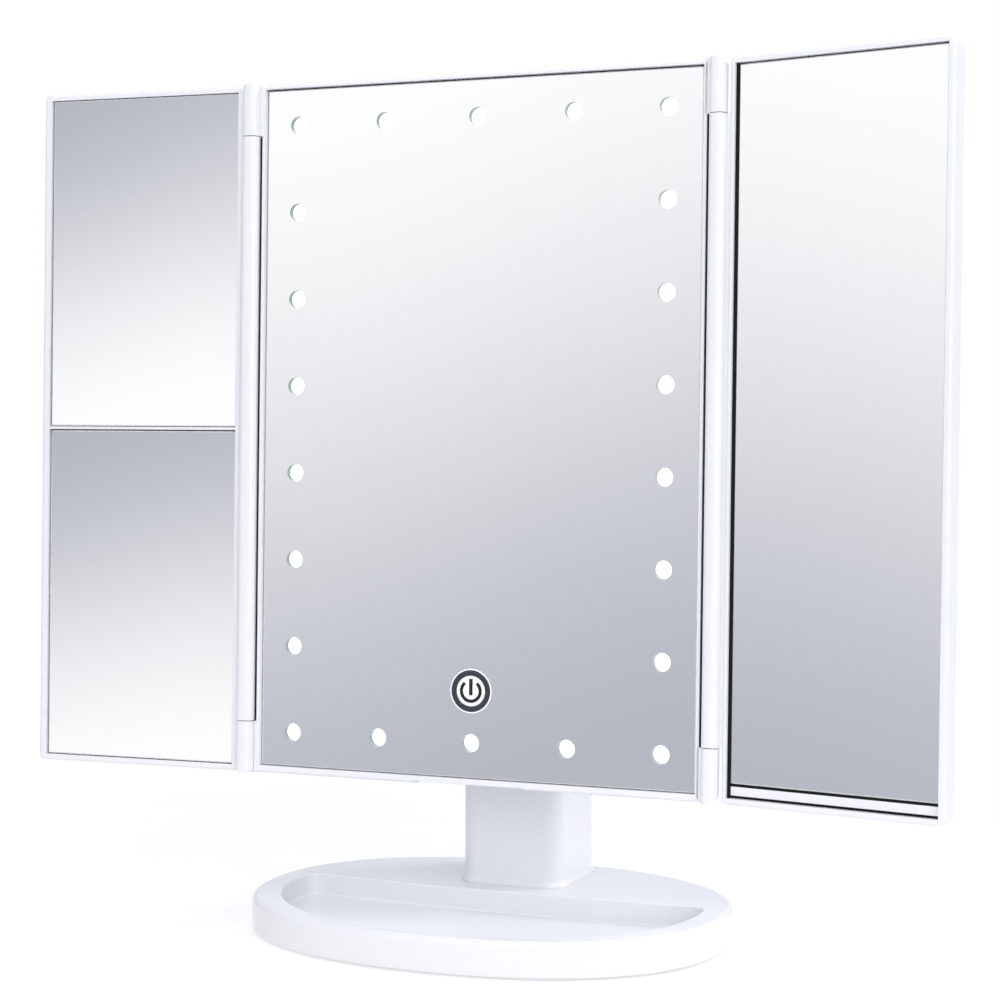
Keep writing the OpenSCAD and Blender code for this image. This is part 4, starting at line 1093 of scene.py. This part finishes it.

# right wing: plain mirror, its black gasket, which also paints the shade in the gaps round the glass, and the white
# spacer strip
RG0, RG1, RZ0, RZ1 = R_X0 + 0.95, R_X1 - 0.32, WING_Z + 4.7, PANEL_H - WING_Z - 0.34
rm = box(RG0, WF + 1.4, RZ0, RG1, WF + 2.9, RZ1)
bevel_edges(rm, 0.42, 1, lambda c, d, e: c.y < WF + 1.41)
assign_by(rm, [MIRROR, GLASS_EDGE, GLASS_BEVEL_HIGHLIGHT], lambda c, n: 0 if n.y < -0.99 else 2 if n.y < -0.3 else 1)
finish(rm, "right_mirror_glass", RIGHT, "right_wing", [MIRROR, GLASS_EDGE, GLASS_BEVEL_HIGHLIGHT], ["right_mirror"],
       smooth=False, dissolve=False)
gk = box(R_X0 + 0.03, WF + 2.2, WING_Z + 0.03, R_X1 - 0.03, WF + 3.38, PANEL_H - WING_Z - 0.03)
boolean(gk, box(RG0 - 0.03, WF, WING_Z + 0.8, RG1 + 0.03, WF + 2.92, RZ1 + 0.03))
boolean(gk, box(R_X0 + 3.2, 0, WING_Z + 5.8, R_X1 - 3.2, 10, PANEL_H - WING_Z - 3.2))
# black strip brought up to the front in the gap left of the glass, and a black bar between the white strip and the
# glass: painted shade in these gaps
lip = box(R_X0 + 0.03, WF + 0.95, WING_Z + 0.03, RG0 - 0.03, WF + 2.4, PANEL_H - WING_Z - 0.03)
bar_ = box(RG0 - 0.1, WF + 1.75, WING_Z + 3.78, RG1 + 0.1, WF + 3.1, RZ0 - 0.06)
finish(join([gk, bevel(lip, 0.18, 2), bar_]), "right_mirror_gasket_and_gap_shade", RIGHT, "right_wing", FOAM_AND_GAP_SHADE, ["right_mirror_gasket"],
       smooth=False, dissolve=False)
sp = bevel(box(RG0, WF + 1.5, WING_Z + 0.84, RG1, WF + 2.9, WING_Z + 3.75), 0.3, 3)
finish(sp, "right_mirror_spacer_strip", RIGHT, "right_wing", WHITE_FRAME, ["right_mirror_spacer"])

# ---------------------------------------------------------------------------
# finishes of the construction nodes that stay as they are
# ---------------------------------------------------------------------------
KEEP = {
    "base_ballast_plate": ROLLED, "base_cover_screws": STEEL, "column_screws": STEEL, "neck_screws": STEEL,
    "battery_holder": DARK, "battery_cells": CELL, "battery_contact_plates": NICKEL, "battery_contact_springs": NICKEL,
    "usb_board": BOARD_G, "column_leads": WIRE, "tilt_friction_washers": BRASS, "lamp_leds": LED_DIE,
    "lamp_board": BOARD_W, "touch_board": BOARD_G, "control_board": BOARD_G, "control_components": DARK,
    "head_leads": WIRE, "left_mirror_pads": FOAM_AND_GAP_SHADE,
}
for n, m in KEEP.items():
    me = NODES[n].data
    me.materials.clear()
    me.materials.append(m)

# ---------------------------------------------------------------------------
# stage and light
# ---------------------------------------------------------------------------
scene = bpy.context.scene
scene.view_settings.view_transform = "Standard"
scene.view_settings.look = "None"

world = bpy.data.worlds.new("studio")
scene.world = world
world.use_nodes = True
wt = world.node_tree
wt.nodes.clear()


def wmath(op, a, b=None, c=None):
    n = wt.nodes.new("ShaderNodeMath")
    n.operation = op
    for i, v in enumerate((a, b, c)):
        if v is None:
            continue
        if hasattr(v, "is_output"):
            wt.links.new(v, n.inputs[i])
        else:
            n.inputs[i].default_value = v
    return n.outputs[0]


def wsmooth(x, lo, hi):
    n = wt.nodes.new("ShaderNodeMapRange")
    n.interpolation_type = "SMOOTHSTEP"
    n.inputs["From Min"].default_value = lo
    n.inputs["From Max"].default_value = hi
    wt.links.new(x, n.inputs["Value"])
    return n.outputs["Result"]


def wmix(f, a, b):
    n = wt.nodes.new("ShaderNodeMix")
    n.data_type = "RGBA"
    wt.links.new(f, n.inputs["Factor"])
    for v, k in ((a, 6), (b, 7)):
        if hasattr(v, "is_output"):
            wt.links.new(v, n.inputs[k])
        else:
            n.inputs[k].default_value = (*v, 1)
    return n.outputs[2]


tc = wt.nodes.new("ShaderNodeTexCoord")
sep = wt.nodes.new("ShaderNodeSeparateXYZ")
wt.links.new(tc.outputs["Generated"], sep.inputs[0])
X, Y, Z = sep.outputs
el = wmath("MULTIPLY", wmath("ARCSINE", Z), 57.29578)
# azimuth: 0 towards -Y, negative towards -X
az = wmath("MULTIPLY", wmath("ARCTAN2", X, wmath("MULTIPLY", Y, -1.0)), 57.29578)
# the bright side of the studio bulges up and down with direction
d1 = wmath("SUBTRACT", az, -29.5)
bulge = wmath("MULTIPLY", wmath("SUBTRACT", 1.0, wmath("POWER", 2.718, wmath("MULTIPLY", wmath("MULTIPLY", d1, d1), -0.0105))), -5.0)
left_side = wsmooth(az, -45.0, -29.0)
bulge = wmath("MULTIPLY", bulge, wmath("ADD", wmath("MULTIPLY", left_side, 0.5), 0.5))
el2 = wmath("ADD", wmath("ADD", el, bulge), 1.9)
g = wsmooth(el2, -8.0, 14.0)
low = (0.475, 0.497, 0.552)
high = (1.03, 1.03, 1.035)
c = wmix(g, low, high)
# overhead, behind and below, the room is darker and cooler than the lit side
ROOM = (0.50, 0.515, 0.572)
c = wmix(wsmooth(el, 14.0, 30.0), c, ROOM)
c = wmix(wsmooth(Y, -0.45, 0.15), c, ROOM)
c = wmix(wsmooth(Y, 0.35, 0.95), c, (0.81, 0.84, 0.93))
c = wmix(wsmooth(az, -2.0, 25.0), c, ROOM)
c = wmix(wsmooth(el, -12.0, -35.0), c, (0.50, 0.52, 0.58))
lp = wt.nodes.new("ShaderNodeLightPath")
white = wmix(lp.outputs["Is Camera Ray"], c, (1.0, 1.0, 1.0))
bg = wt.nodes.new("ShaderNodeBackground")
wt.links.new(white, bg.inputs["Color"])
bg.inputs["Strength"].default_value = 1.0
wo = wt.nodes.new("ShaderNodeOutputWorld")
wt.links.new(bg.outputs[0], wo.inputs["Surface"])

# floor: a pale round table top
fl_pts = circle_pts(0, 0, 300, 96)
floor = prism(fl_pts, -0.25, -0.02, "Z")
fm, nt, b = new_mat("pale_table")
v_ = coords(nt, 1.0)
n_ = noise(nt, v_, 40.0, 3.0)
nt.links.new(mix_color(nt, ramp(nt, n_, 0.0, 1.0), (0.44, 0.44, 0.445), (0.47, 0.47, 0.472)), b.inputs["Base Color"])
nt.links.new(ramp(nt, n_, 0.6, 0.7), b.inputs["Roughness"])
b.inputs["Specular IOR Level"].default_value = 0.2
b.inputs["Emission Color"].default_value = (1, 1, 1, 1)
b.inputs["Emission Strength"].default_value = 0.53
floor.data.materials.append(fm)
move(floor, MM)
floor.name = "table_top"


def area(name, loc, target, size, power, color=(1, 1, 1), size_y=None):
    d = bpy.data.lights.new(name, "AREA")
    d.shape = "RECTANGLE"
    d.size = size
    d.size_y = size_y or size
    d.energy = power
    d.color = color
    o = bpy.data.objects.new(name, d)
    o.location = loc
    o.rotation_euler = (Vector(target) - Vector(loc)).to_track_quat("-Z", "Y").to_euler()
    bpy.context.scene.collection.objects.link(o)
    return o


def softbox(name, az, el, size, power, color):
    """Light at 1.5 m; az 0 is in front, positive to the right."""
    a, e = math.radians(az), math.radians(el)
    t = Vector((0.0, 0.0, 0.13))
    area(name, t + 1.5 * Vector((math.sin(a) * math.cos(e), -math.cos(a) * math.cos(e), math.sin(e))), t, size, power, color)


softbox("rear_right", 120, 30, 0.6, 10.5, (1.0, 0.995, 0.985))
softbox("front_right_high", 20, 45, 0.6, 5.7, (1.0, 0.998, 0.99))
softbox("right_low", 50, 12, 0.7, 5.3, (1.0, 0.998, 0.99))
softbox("front_low", 5, 25, 0.5, 2.3, (0.99, 0.99, 1.0))
softbox("edge_light", -38, 50, 0.30, 1.0, (0.98, 0.985, 1.0))
softbox("overhead", 0, 88, 0.8, 4.6, (0.96, 0.975, 1.0))
